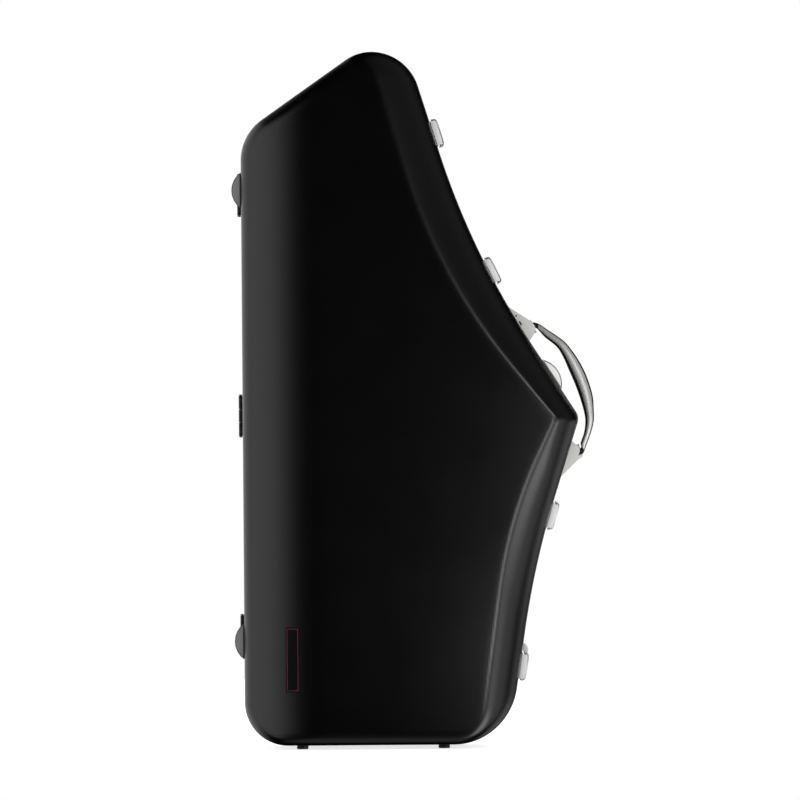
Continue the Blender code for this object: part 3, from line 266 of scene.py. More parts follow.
@dataclass(frozen=True)
class MouldedSkin(Finish):
    """Thermoformed ABS sheet with a fine woven grain pressed into it.

    The grain breaks the gloss into short threads that run up and across the case. The real
    thread is near 0.6 mm; it is drawn at a coarser pitch here so that it shows at all.
    """

    patch_size: float = 45 * MM
    patch_reach: float = 0.012
    bump_depth: float = 0.08 * MM
    bump_strength: float = 0.5
    grain: float = 0.9 * MM
    thread_pitch: float = 2.3 * MM
    wander: float = 0.8

    def pattern(self, drawing: Drawing) -> Socket:
        """Presses two crossing runs of threads into the skin.

        Args:
            drawing: The material's tree.

        Returns:
            The height of the skin.
        """
        # Turned by 45 degrees, the upright threads show on the panel and on the sides alike
        turned = drawing.moved(Rotation=(0, 0, math.radians(45)))
        upright = drawing.threads("X", self.thread_pitch / math.sqrt(2), {
            "Vector": turned, "Distortion": self.wander, "Detail": 1.0, "Detail Scale": 2.0})
        across = drawing.threads("Z", self.thread_pitch, {
            "Distortion": self.wander, "Detail": 1.0})
        woven = combine(drawing.tree, "MULTIPLY", upright, across)
        return combine(drawing.tree, "ADD", woven, drawing.noise(self.grain, 3.0))


@dataclass(frozen=True)
class Rubber(Finish):
    """Moulded rubber: dull, with a fine open pore."""

    patch_size: float = 9 * MM
    patch_reach: float = 0.06
    bump_depth: float = 0.08 * MM
    bump_strength: float = 0.35
    grain: float = 0.7 * MM

    def pattern(self, drawing: Drawing) -> Socket:
        """Draws the pores."""
        return drawing.cells(self.grain)


@dataclass(frozen=True)
class SatinPlate(Finish):
    """Pressed or cast metal under a satin nickel plate: fine brushed lines along the part."""

    patch_size: float = 8 * MM
    patch_reach: float = 0.06
    bump_depth: float = 0.02 * MM
    bump_strength: float = 0.25
    grain: float = 0.35 * MM

    def pattern(self, drawing: Drawing) -> Socket:
        """Draws brushed lines that run up the case."""
        return drawing.noise(self.grain, 3.0, Vector=drawing.moved(Scale=(1, 1, 0.03)))


@dataclass(frozen=True)
class Plush(Finish):
    """Knitted plush glued over moulded foam: short pile that lies in soft swirls.

    The pile scatters light at the edges, so it carries sheen; its tufts are drawn at 2.4 mm,
    a little coarser than real pile, so that they show from arm's length.
    """

    patch_reach: float = 0.0
    bump_depth: float = 0.9 * MM
    bump_strength: float = 0.6
    grain: float = 2.4 * MM
    swirl_size: float = 22 * MM
    swirl_share: float = 2.2

    def set_pile(self, inputs: bpy.types.NodeInputs) -> None:
        """Gives the shader the pile's sheen."""
        inputs["Sheen Weight"].default_value = 0.35
        inputs["Sheen Roughness"].default_value = 0.4
        inputs["Specular IOR Level"].default_value = 0.2

    def pattern(self, drawing: Drawing) -> Socket:
        """Draws the pile's swirls and tufts."""
        swirl = drawing.noise(self.swirl_size, 2.0, Distortion=1.2)
        tufts = drawing.cells(self.grain)
        return combine(drawing.tree, "MULTIPLY_ADD", swirl, self.swirl_share, tufts)


@dataclass(frozen=True)
class Webbing(Finish):
    """Woven polypropylene webbing: ribs across its width and a soft shine on each thread."""

    patch_reach: float = 0.0
    bump_depth: float = 0.35 * MM
    bump_strength: float = 0.7
    grain: float = 2.2 * MM
    threads_per_rib: float = 1.6

    def pattern(self, drawing: Drawing) -> Socket:
        """Draws ribs across the strap and the finer threads between them."""
        ribs = drawing.threads("X", self.grain, {"Distortion": 0.4, "Detail": 1.0})
        threads = drawing.threads("Z", self.grain / self.threads_per_rib, {"Distortion": 0.4})
        return combine(drawing.tree, "MULTIPLY", ribs, threads)


# Thermoformed ABS: nearly black, with a wide satin highlight along every round
SHELL = MouldedSkin("thermoformed_black_abs", "#020203", 0.25, second_colour="#030304",
                    shade_size=60 * MM)
# Extruded PVC edge profile, a shade glossier than the shells
RIM = Finish("extruded_black_pvc", "#141415", 0.38, second_colour="#181819")
# Solid moulded rubber of the feet and the seal
FOOT_RUBBER = Rubber("moulded_black_rubber", "#131313", 0.62, second_colour="#1a1a19")
# Soft grey rubber of the spine bumpers
BUMPER_RUBBER = Rubber("moulded_grey_rubber", "#707071", 0.55, second_colour="#6a6a6b")
# The same rubber painted darker on the bumpers' rims, as painted shade where the rounded edge turns
# from the light
BUMPER_RIM_SHADE = Rubber("worn_grey_rubber_edge", "#3b3b3c", 0.6, second_colour="#444445")
# Injection-moulded light grey nylon of the brackets and the cap
NYLON = Finish("moulded_light_grey_nylon", "#cfcfcc", 0.42, second_colour="#c6c6c3")
# White nylon of the rest behind the grip, and grey painted shade on its rim
REST_NYLON = Finish("moulded_white_nylon", "#f6f6f4", 0.4, second_colour="#f0f0ee")
REST_RIM_SHADE = Finish("moulded_grey_nylon_edge", "#6f6f6e", 0.45, second_colour="#696968")
# Satin aluminium-flake paint over the handle's nylon core: it shades like metal, softly
GRIP_SKIN = Finish("satin_silver_flake_paint", "#d0d0cd", 0.42, metallic=0.6,
                   second_colour="#c8c8c5")
# Dark rubber colour on the grip: painted shade over its palm side and a painted dark outline along
# its outer spine; the necks take it too
GRIP_SHADE_RUBBER = Rubber("soft_touch_dark_rubber", "#1c1c1b", 0.6, ior=1.25,
                     second_colour="#232322")
# Nickel-plated steel of the latch plates, hooks, pins, rings and heads
STEEL = SatinPlate("satin_nickel_plated_steel", "#c9c8c5", 0.3, metallic=1.0)
# Die-cast latch covers in satin flake paint; their inner faces are painted dark as painted shade
# under the cover
LATCH = Finish("satin_flake_latch_paint", "#c9cacb", 0.33, metallic=0.6,
               second_colour="#c0c1c2")
LATCH_SHADE = Finish("bare_dark_zinc", "#2c2c2d", 0.5, metallic=0.6, second_colour="#262627")
# Keepers in plain satin paint, pale from every side
KEEPER = Finish("satin_grey_keeper_paint", "#e6e6e5", 0.4, second_colour="#dfdfde")
# Black powder-coated steel of the hinges
HINGE = Finish("black_powder_coated_steel", "#0f0f10", 0.42, second_colour="#151516")
# Black plush lining
LINING = Plush("black_plush_lining", "#1a1a1d", 0.9, second_colour="#222226", shade_size=35 * MM)
# Black polypropylene webbing
STRAP = Webbing("black_polypropylene_webbing", "#141415", 0.6, second_colour="#1b1b1c",
                shade_size=20 * MM)
# Polyester thread, a shade lighter than the webbing
THREAD = Finish("grey_polyester_thread", "#4a4a4c", 0.55, second_colour="#555557",
                shade_size=3 * MM)
# Satin black enamel of the blank plate
PLATE = Finish("black_enamelled_plate", "#050506", 0.4, ior=1.2, second_colour="#070708")
# The fine line that frames the plate
PLATE_LINE = Finish("dull_red_plate_line", "#642530", 0.5, second_colour="#5c212b")
# Painted shade inside moulded openings and bores: near-black on their cut walls
RECESS_SHADE = Finish("shadowed_black_nylon", "#0c0c0c", 0.7, second_colour="#101010")


# ---- shared helpers


def case_origin() -> Matrix:
    """The move from the case's own frame to the row frame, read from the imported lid."""
    low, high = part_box("lid_shell")
    return Matrix.Translation((low.x, high.y + SEAM_GAP, low.z))


TO_ROW = case_origin()


def new_object(name: str, mesh: Mesh) -> Piece:
    """Turns a bmesh into an object of the scene.

    Args:
        name: Name of the object and its mesh.
        mesh: The bmesh, which is freed.

    Returns:
        The new object.
    """
    data = bpy.data.meshes.new(name)
    mesh.to_mesh(data)
    mesh.free()
    made = bpy.data.objects.new(name, data)
    bpy.context.scene.collection.objects.link(made)
    return made


def apply_modifiers(piece: Piece) -> None:
    """Turns a piece with its modifiers into a plain mesh.

    Args:
        piece: The piece, which keeps its name and loses its modifiers.
    """
    graph = bpy.context.evaluated_depsgraph_get()
    finished = bpy.data.meshes.new_from_object(piece.evaluated_get(graph))
    piece.modifiers.clear()
    old = piece.data
    piece.data = finished
    bpy.data.meshes.remove(old)
    finished.name = piece.name


def remove(*pieces: Piece) -> None:
    """Deletes helper objects and their meshes."""
    for piece in pieces:
        data = piece.data
        bpy.data.objects.remove(piece, do_unlink=True)
        bpy.data.meshes.remove(data)


def smooth(piece: Piece, sharp_degrees: float = 38) -> None:
    """Shades a piece smooth; edges that turn by more than sharp_degrees stay sharp."""
    piece.data.shade_smooth()
    piece.data.set_sharp_from_angle(angle=math.radians(sharp_degrees))


def dress(piece: Piece, finishes: Sequence[Finish], slot: Slot, body: str,
          replaced: Sequence[str] = ()) -> Piece:
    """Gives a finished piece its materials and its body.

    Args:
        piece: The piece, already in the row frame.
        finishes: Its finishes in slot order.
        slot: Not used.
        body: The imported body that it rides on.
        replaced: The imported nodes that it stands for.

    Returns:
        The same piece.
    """
    slots = piece.data.materials
    for index, finish in enumerate(finishes):
        if index < len(slots):
            slots[index] = finish.material()
        else:
            slots.append(finish.material())
    while len(slots) > len(finishes):
        slots.pop()
    if replaced:
        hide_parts(*replaced)
    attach(piece, str(body))
    log.info("%s: %d faces on %s", piece.name, len(piece.data.polygons), body)
    return piece


def body_of_node(node: str) -> str:
    """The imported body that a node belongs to."""
    return frame["nodes"][node]["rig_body"]


def packed_mesh(node: str) -> Mesh:
    """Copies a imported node's mesh and joins its loose triangles."""
    mesh = bmesh.new()
    mesh.from_mesh(frame["nodes"][node].data)
    bmesh.ops.remove_doubles(mesh, verts=mesh.verts, dist=MERGE_REACH)
    return mesh


def round_edges(piece: Piece, width: float, segments: int, limit_degrees: float,
                weighted: bool = False) -> None:
    """Rounds the edges of a piece.

    Args:
        piece: The piece.
        width: Width of the rounded edges in metres.
        segments: Faces across each rounded edge.
        limit_degrees: Edges that turn by less than this stay as they are.
        weighted: True where the edges carry weights, which then choose them.
    """
    bevel = piece.modifiers.new("rounded_edges", "BEVEL")
    bevel.width = width
    bevel.segments = segments
    bevel.limit_method = "WEIGHT" if weighted else "ANGLE"
    bevel.angle_limit = math.radians(limit_degrees)
    apply_modifiers(piece)


def refined(node: str, edge: float, segments: int = 2, limit_degrees: float = 42,
            against: Vector | None = None) -> Piece:
    """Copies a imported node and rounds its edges.

    Args:
        node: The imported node.
        edge: Width of the rounded edges in metres.
        segments: Faces across each rounded edge.
        limit_degrees: Edges that turn by less than this stay as they are.
        against: Way to the wall that the piece sits on, where its edges stay sharp.

    Returns:
        The finished copy, in the row frame.
    """
    mesh = packed_mesh(node)
    bmesh.ops.dissolve_limit(mesh, angle_limit=FLAT_TURN, verts=mesh.verts, edges=mesh.edges)
    if against is not None:
        wall = max(vertex.co.dot(against) for vertex in mesh.verts) - edge / 2
        weight = mesh.edges.layers.float.new("bevel_weight_edge")
        for line in mesh.edges:
            free = min(vertex.co.dot(against) for vertex in line.verts) < wall
            turned = line.calc_face_angle(0) > math.radians(limit_degrees)
            line[weight] = float(free and turned)
    piece = new_object(f"{node}_finished", mesh)
    round_edges(piece, edge, segments, limit_degrees, weighted=against is not None)
    smooth(piece)
    return piece


def dress_packed(node: str, edge: float, finish: Finish, slot: Slot, segments: int = 2) -> None:
    """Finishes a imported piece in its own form, with rounded edges of this width."""
    dress(refined(node, edge, segments), [finish], slot, body_of_node(node), [node])


def carve(piece: Piece, cutters: Sequence[Piece]) -> None:
    """Cuts helper solids from a piece and deletes them.

    Args:
        piece: The piece to cut.
        cutters: Closed helper solids.
    """
    for cutter in cutters:
        modifier = piece.modifiers.new(cutter.name, "BOOLEAN")
        modifier.operation = "DIFFERENCE"
        modifier.object = cutter
        modifier.solver = "EXACT"
        modifier.material_mode = "TRANSFER"
    apply_modifiers(piece)
    remove(*cutters)


def rounded_rectangle(width: float, height: float, radius: float, steps: int) -> list[Vector]:
    """Outline of a rectangle with round corners, centred, counter-clockwise.

    Args:
        width: Full width.
        height: Full height.
        radius: Radius of the corners.
        steps: Straight pieces in each corner.

    Returns:
        The points.
    """
    points = []
    for quarter, (x, y) in enumerate(((1, 1), (-1, 1), (-1, -1), (1, -1))):
        centre = Vector((x * (width / 2 - radius), y * (height / 2 - radius)))
        for step in range(steps + 1):
            angle = QUARTER_TURN * (quarter + step / steps)
            points.append(centre + Vector((math.cos(angle), math.sin(angle))) * radius)
    return points


def lathe_mesh(mesh: Mesh, profile: Sequence[tuple[float, float]], sides: int,
               place: Matrix = Matrix.Identity(4)) -> None:
    """Adds a turned solid to a bmesh.

    Args:
        mesh: The bmesh.
        profile: Points (radius, height) from one end of the axis to the other; both ends
            have a radius of zero.
        sides: Faces round the axis.
        place: Where the solid goes; its axis is the frame's z.
    """
    rings = []
    for radius, height in profile:
        if radius <= 0:
            rings.append([mesh.verts.new(place @ Vector((0, 0, height)))])
            continue
        rings.append([mesh.verts.new(place @ Vector((
            radius * math.cos(math.tau * k / sides), radius * math.sin(math.tau * k / sides),
            height))) for k in range(sides)])
    for low, high in zip(rings, rings[1:]):
        for k in range(sides):
            after = (k + 1) % sides
            corners = [low[k % len(low)], low[after % len(low)],
                       high[after % len(high)], high[k % len(high)]]
            mesh.faces.new(list(dict.fromkeys(corners)))


def join_rings(mesh: Mesh, near: Ring, far: Ring) -> list[bmesh.types.BMFace]:
    """Joins two closed rings of as many vertices by one band of faces."""
    pairs = list(zip(near, far))
    return [mesh.faces.new((here, after, beyond, across))
            for (here, across), (after, beyond) in zip(pairs, pairs[1:] + pairs[:1])]


def add_prism(mesh: Mesh, rings: Sequence[Ring]) -> None:
    """Joins rings one after the other and closes both ends."""
    for near, far in zip(rings, rings[1:]):
        join_rings(mesh, near, far)
    mesh.faces.new(rings[0])
    mesh.faces.new(rings[-1])


def closed_object(name: str, mesh: Mesh, place: Matrix | None = None,
                  sharp_degrees: float = 0) -> Piece:
    """Turns a closed bmesh into an object with its faces outwards.

    Args:
        name: Name of the object.
        mesh: The bmesh, which is freed.
        place: Its move to the row frame, or None where it is built there.
        sharp_degrees: Edges that turn by more than this stay sharp; 0 leaves it unshaded.

    Returns:
        The object.
    """
    bmesh.ops.recalc_face_normals(mesh, faces=mesh.faces)
    if place is not None:
        mesh.transform(place)
    made = new_object(name, mesh)
    if sharp_degrees:
        smooth(made, sharp_degrees)
    return made


# ---- outline of the case


@dataclass(frozen=True)
class Corner:
    """A sharp corner of an outline and the radius that rounds it."""

    x: float
    z: float
    radius: float


@dataclass(frozen=True)
class Arc:
    """The round of one corner; side is 1 where the outline turns left, -1 where right."""

    centre: Vector
    radius: float
    start: Vector
    end: Vector
    side: int

    def points(self, steps: int) -> Iterator[tuple[Vector, Vector]]:
        """Walks the arc.

        Args:
            steps: Straight pieces along the arc.

        Yields:
            Each point with its outward normal.
        """
        first = self.start - self.centre
        sweep = first.angle_signed(self.end - self.centre)
        for step in range(steps + 1):
            turned = first.copy()
            turned.rotate(Matrix.Rotation(-sweep * step / steps, 2))
            yield self.centre + turned, turned.normalized() * self.side


class Outline:
    """A closed run of straight edges and arcs in the XZ plane."""

    arc_steps = (22, 18, 12, 18, 22)
    line_steps = 3
    least_radius = 8 * MM

    def __init__(self, corners: Sequence[Corner]) -> None:
        """Works out the arcs of the corners.

        Args:
            corners: The corners, counter-clockwise from the front, the heel first.
        """
        self.corners = list(corners)
        count = len(self.corners)
        places = [Vector((corner.x, corner.z)) for corner in self.corners]
        self.heads = [(places[(i + 1) % count] - places[i]).normalized() for i in range(count)]
        self.inward = [Vector((-head.y, head.x)) for head in self.heads]
        self.arcs = []
        for i in range(count):
            before, after = self.heads[i - 1], self.heads[i]
            side = 1 if before.x * after.y - before.y * after.x > 0 else -1
            radius = self.corners[i].radius
            reach = radius * math.tan(before.angle(after) / 2)
            start = places[i] - before * reach
            centre = start + self.inward[i - 1] * radius * side
            self.arcs.append(Arc(centre, radius, start, places[i] + after * reach, side))

    def inset(self, distance: float) -> "Outline":
        """Returns the same outline moved inwards by distance."""
        moved = []
        for i, corner in enumerate(self.corners):
            before, after = self.inward[i - 1], self.inward[i]
            shift = (before + after) * distance / (1 + before.dot(after))
            radius = corner.radius - self.arcs[i].side * distance
            moved.append(Corner(corner.x + shift.x, corner.z + shift.y,
                                max(radius, self.least_radius)))
        return Outline(moved)

    def at_x(self, x: float, top: bool) -> tuple[Vector, Vector]:
        """Finds the foot edge, or the slanted top edge, at x.

        Args:
            x: Distance from the spine wall.
            top: True for the slanted top edge.

        Returns:
            The point and its outward normal.
        """
        index = len(self.arcs) - 1 if top else 0
        arc = self.arcs[index]
        edge = index - 1 if top else 0
        reached = arc.start.x if top else arc.end.x
        if x < reached:
            across = arc.centre.x - x
            rise = math.sqrt(max(arc.radius ** 2 - across ** 2, 0))
            point = Vector((x, arc.centre.y + (rise if top else -rise)))
            return point, (point - arc.centre).normalized()
        anchor = arc.start if top else arc.end
        head = self.heads[edge]
        return anchor + head * ((x - anchor.x) / head.x), -self.inward[edge]

    def at_z(self, z: float) -> tuple[Vector, Vector]:
        """Finds the handle side at height z.

        Args:
            z: Height above the underside of the shell.

        Returns:
            The point and its outward normal.
        """
        for i in range(1, len(self.arcs) - 1):
            arc = self.arcs[i]
            low, high = sorted((arc.start.y, arc.end.y))
            if low <= z <= high:
                run = math.sqrt(arc.radius ** 2 - (z - arc.centre.y) ** 2)
                point = Vector((arc.centre.x + run * arc.side, z))
                return point, (point - arc.centre).normalized() * arc.side
            ahead = self.arcs[i + 1].start
            if arc.end.y <= z <= ahead.y:
                point = arc.end.lerp(ahead, (z - arc.end.y) / (ahead.y - arc.end.y))
                return point, -self.inward[i]
        raise ValueError("height is past the handle side")

    def walk(self, start: Vector, finish: Vector) -> Iterator[tuple[Vector, Vector]]:
        """Walks from the foot edge round the handle side to the slanted top edge.

        Args:
            start: Point on the foot edge.
            finish: Point on the slanted edge.

        Yields:
            Each point with its outward normal, both ends left out.
        """
        here = start
        for i, steps in enumerate(self.arc_steps, start=1):
            arc = self.arcs[i]
            for step in range(1, self.line_steps):
                yield here.lerp(arc.start, step / self.line_steps), -self.inward[i - 1]
            yield from arc.points(steps)
            here = arc.end
        for step in range(1, self.line_steps):
            yield here.lerp(finish, step / self.line_steps), -self.inward[len(self.arc_steps)]

    @classmethod
    def side_shares(cls) -> Iterator[float]:
        """Yields how far each point of a walk belongs to the handle side, from 0 to 1."""
        last = len(cls.arc_steps) - 1
        for i, steps in enumerate(cls.arc_steps):
            for _ in range(1, cls.line_steps):
                yield 0.0 if i == 0 else 1.0
            for step in range(steps + 1):
                along = step / steps
                eased = along * along * (3 - 2 * along)
                yield eased if i == 0 else 1 - eased if i == last else 1.0
        for _ in range(1, cls.line_steps):
            yield 0.0


@dataclass(frozen=True)
class RingPoint:
    """One station of the loft: seam point, panel point, outward normal and side share."""

    outer: Vector
    inner: Vector
    normal: Vector
    share: float


@dataclass(frozen=True)
class CaseShape:
    """Sizes of the shells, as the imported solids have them."""

    spine_height: float = 689 * MM
    foot_width: float = 299 * MM
    edge_radius: float = 12 * MM
    spine_reach: float = 92 * MM
    spine_wall: float = 40 * MM
    heel_steps: int = 18
    reach_steps: int = 16
    flat_margin: float = 6 * MM
    crown_x: float = 146 * MM
    back_edge: float = 34 * MM

    def outline(self) -> Outline:
        """Returns the outline of both shells at the seam."""
        return Outline([
            Corner(0, 0, 48 * MM),
            Corner(self.foot_width, 0, 72 * MM),
            Corner(329 * MM, 203 * MM, 1000 * MM),
            Corner(381 * MM, 368 * MM, 16 * MM),
            Corner(261 * MM, 554 * MM, 900 * MM),
            Corner(179 * MM, 814 * MM, 54 * MM),
            Corner(0, self.spine_height, 55 * MM),
        ])

    def crease(self, set_in: float) -> Outline:
        """Returns the edge of the lid's flat panel, moved inwards by set_in."""
        edge = self.outline().inset(self.edge_radius)
        crown, _ = edge.at_x(self.crown_x, top=True)
        return Outline([
            edge.corners[0],
            Corner(269 * MM, edge.corners[1].z, 34 * MM),
            Corner(302 * MM, 262 * MM, 500 * MM),
            Corner(355 * MM, 366 * MM, 8 * MM),
            Corner(224 * MM, 520 * MM, 600 * MM),
            Corner(crown.x, crown.y, 20 * MM),
            edge.corners[-1],
        ]).inset(set_in)

    def back(self, set_in: float) -> Outline:
        """Returns the edge of the base's flat back, moved inwards by set_in."""
        edge = self.outline().inset(self.edge_radius)
        side = self.outline().inset(self.back_edge)
        crown, _ = edge.at_x(side.corners[-2].x, top=True)
        return Outline([
            edge.corners[0],
            Corner(side.corners[1].x, edge.corners[1].z, 60 * MM),
            side.corners[2],
            side.corners[3],
            side.corners[4],
            Corner(crown.x, crown.y, 20 * MM),
            edge.corners[-1],
        ]).inset(set_in)

    def ring(self, panel: Outline, set_in: float = 0) -> tuple[list[RingPoint], int]:
        """Pairs the seam outline with a panel outline, station by station.

        Args:
            panel: The panel outline, already moved inwards by set_in.
            set_in: How far the stations along the foot and the slant move inwards.

        Returns:
            The stations round the case, and how many of them each straight edge has.
        """
        outline = self.outline()
        edge = outline.inset(self.edge_radius + set_in)
        heel = edge.arcs[0]
        xs = [heel.centre.x - heel.radius * math.cos(QUARTER_TURN * step / self.heel_steps)
              for step in range(self.heel_steps + 1)]
        rest = self.spine_reach - xs[-1]
        xs += [xs[-1] + rest * step / self.reach_steps for step in range(1, self.reach_steps + 1)]
        xs.append(self.spine_reach + self.flat_margin)
        reach = self.edge_radius + set_in

        def stations(top: bool) -> list[RingPoint]:
            stops = [edge.at_x(x, top) for x in xs]
            return [RingPoint(point + normal * reach, point, normal, 0.0)
                    for point, normal in stops]

        foot, slant = stations(False), stations(True)
        ring = list(foot)
        outer_run = outline.walk(foot[-1].outer, slant[-1].outer)
        panel_run = panel.walk(foot[-1].inner, slant[-1].inner)
        for (outer, normal), (inner, _), share in zip(outer_run, panel_run,
                                                      Outline.side_shares()):
            ring.append(RingPoint(outer, inner, normal, share))
        return ring + slant[::-1], len(xs)


SHAPE = CaseShape()
SEAM = SHAPE.outline()


def wall_frame(z: float) -> Matrix:
    """Frame on the handle side at height z: x outwards, y across the seam, z up the wall."""
    point, normal = SEAM.at_z(z)
    out = Vector((normal.x, 0, normal.y))
    across = Vector((0, 1, 0))
    turned = Matrix((out, across, out.cross(across))).transposed().to_4x4()
    turned.translation = (point.x, 0, point.y)
    return turned


# ---- moulded shells


@dataclass
class MouldedShell:
    """One moulded half: a lofted skin with an even wall, a rounded lip and a soft crease."""

    body: Body
    facing: int
    depth: float
    side_wall: float
    side_turn: float
    panel: Callable[[float], Outline]
    wall: float = 4 * MM
    lip: float = 0.6 * MM
    lip_share: float = 0.3
    crease_round: float = 2.0 * MM
    crease_shares: tuple[float, ...] = (0.2, 0.4, 0.6, 0.8)
    flat_shares: tuple[float, ...] = (1, 2.2)
    section_steps: int = 14
    inside_steps: int = 6

    def top(self, x: float, inset: float) -> float:
        """Depth of the panel at x, for the skin that lies inset inside the outer one."""
        across = (SHAPE.spine_reach - x) / (SHAPE.spine_reach - inset)
        across = min(max(across, 0), 1)
        depth = self.depth - inset
        return SHAPE.spine_wall + (depth - SHAPE.spine_wall) * math.sqrt(1 - across ** 2)

    def section(self, stop: RingPoint, inset: float, share: float) -> tuple[Vector, float]:
        """Finds one point of the section that turns a side into its panel.

        Args:
            stop: The station.
            inset: How far inside the outer skin the point lies.
            share: How far along the section, from 0 at the wall to 1 at the panel.

        Returns:
            The point in plan and its height from the seam.
        """
        spine_turn = math.acos(1 - SHAPE.edge_radius / SHAPE.spine_reach)
        spine = max(-stop.normal.x, 0) ** 2 * (1 - stop.share)
        top = self.top(stop.inner.x, inset)
        wall = top - (SHAPE.edge_radius - inset)
        wall += (self.side_wall - wall) * stop.share
        wall += (SHAPE.spine_wall - wall) * spine
        turn = QUARTER_TURN + (self.side_turn - QUARTER_TURN) * stop.share
        turn += (spine_turn - turn) * spine
        along = (1 - math.cos(turn * share)) / (1 - math.cos(turn))
        up = math.sin(turn * share) / math.sin(turn)
        plan = (stop.outer - stop.normal * inset).lerp(stop.inner, along)
        return plan, wall + (top - wall) * up

    def outer_rows(self) -> tuple[list[Row], int]:
        """Builds the outer skin's rows from the lip to just inside the panel.

        Returns:
            The rows, and the number of stations along each straight edge.
        """
        ring, stations = SHAPE.ring(self.panel(0))
        soft = self.lip_share * self.lip
        rows: list[Row] = [
            [(stop.outer - stop.normal * inset, SEAM_GAP + height) for stop in ring]
            for inset, height in ((self.lip, 0), (soft, soft), (0, self.lip))]
        ends = []
        for stop in ring:
            start, low = self.section(stop, 0, 0)
            finish, high = self.section(stop, 0, 1)
            length = math.hypot((finish - start).length, high - low)
            ends.append(1 - self.crease_round / length)
        for step in range(self.section_steps + 1):
            share = step / self.section_steps
            rows.append([self.section(stop, 0, end * share) for stop, end in zip(ring, ends)])
        before = rows[-1]
        edge = [self.section(stop, 0, 1) for stop in ring]
        flat_rows = []
        for set_in in (self.crease_round * share for share in self.flat_shares):
            inner_ring, _ = SHAPE.ring(self.panel(set_in), set_in)
            flat_rows.append([(stop.inner, self.top(stop.inner.x, 0)) for stop in inner_ring])
        for share in self.crease_shares:
            rows.append([self.rounded(a, b, c, share)
                         for a, b, c in zip(before, edge, flat_rows[0])])
        return rows + flat_rows, stations

    @staticmethod
    def rounded(start: tuple[Vector, float], corner: tuple[Vector, float],
                finish: tuple[Vector, float], share: float) -> tuple[Vector, float]:
        """Finds a point on the soft round of the crease.

        Args:
            start: Where the round begins.
            corner: The sharp crease that it cuts.
            finish: Where it meets the panel.
            share: How far along the round, from 0 to 1.

        Returns:
            The point in plan and its height from the seam.
        """
        keep, give = 1 - share, share
        plan, height = (a * keep ** 2 + b * 2 * keep * give + c * give ** 2
                        for a, b, c in zip(start, corner, finish))
        return plan, height

    def inner_rows(self) -> list[Row]:
        """Builds the inner skin's rows from the seam to the panel."""
        ring, _ = SHAPE.ring(self.panel(0))
        rows: list[Row] = [[(stop.outer - stop.normal * self.wall, SEAM_GAP) for stop in ring]]
        for step in range(self.inside_steps + 1):
            rows.append([self.section(stop, self.wall, step / self.inside_steps)
                         for stop in ring])
        return rows

    def build(self) -> Piece:
        """Builds the closed shell in the row frame and dresses it.

        Returns:
            The shell.
        """
        mesh = bmesh.new()
        rows, stations = self.outer_rows()
        skins = [[[mesh.verts.new((plan.x, self.facing * height, plan.y)) for plan, height in row]
                  for row in skin] for skin in (rows, self.inner_rows())]
        for grid, outside in zip(skins, (True, False)):
            self.add_faces(mesh, grid, stations, outside)
        outer, inner = skins[0][0], skins[1][0]
        for i in range(len(outer)):
            after = (i + 1) % len(outer)
            self.add_face(mesh, (outer[after], outer[i], inner[i], inner[after]), True)
        mesh.transform(TO_ROW)
        name = f"{self.body}_shell"
        shell = new_object(f"{name}_moulding", mesh)
        smooth(shell, 50)
        return dress(shell, [SHELL], Slot.SHELL, self.body, [name])

    def add_face(self, mesh: Mesh, corners: Iterable[bmesh.types.BMVert],
                 outside: bool) -> None:
        """Adds one face that points away from the wall's inside.

        Args:
            mesh: The bmesh.
            corners: Corners in order for the outer skin of the lid.
            outside: True for the outer skin.
        """
        corners = list(corners)
        forward = outside == (self.facing < 0)
        mesh.faces.new(corners if forward else corners[::-1])

    def add_faces(self, mesh: Mesh, grid: list[Ring],
                  stations: int, outside: bool) -> None:
        """Adds the faces of one skin.

        Args:
            mesh: The bmesh.
            grid: The skin's rows of vertices.
            stations: Stations along each straight edge.
            outside: True for the outer skin.
        """
        count = len(grid[0])
        for near, far in zip(grid, grid[1:]):
            for i in range(count):
                after = (i + 1) % count
                self.add_face(mesh, (near[i], near[after], far[after], far[i]), outside)
        panel = grid[-1]
        for i in range(stations - 1):
            across = count - 1 - i
            self.add_face(mesh, (panel[i], panel[i + 1], panel[across - 1], panel[across]),
                          outside)
        self.add_face(mesh, panel[stations - 1:count - stations + 1], outside)


LID_SHELL = MouldedShell(Body.LID, -1, 92 * MM, 24 * MM, math.radians(66), SHAPE.crease,
                         crease_round=5 * MM)
BASE_SHELL = MouldedShell(Body.BASE, 1, 98 * MM, 52 * MM, QUARTER_TURN, SHAPE.back)


# ---- rims and seal


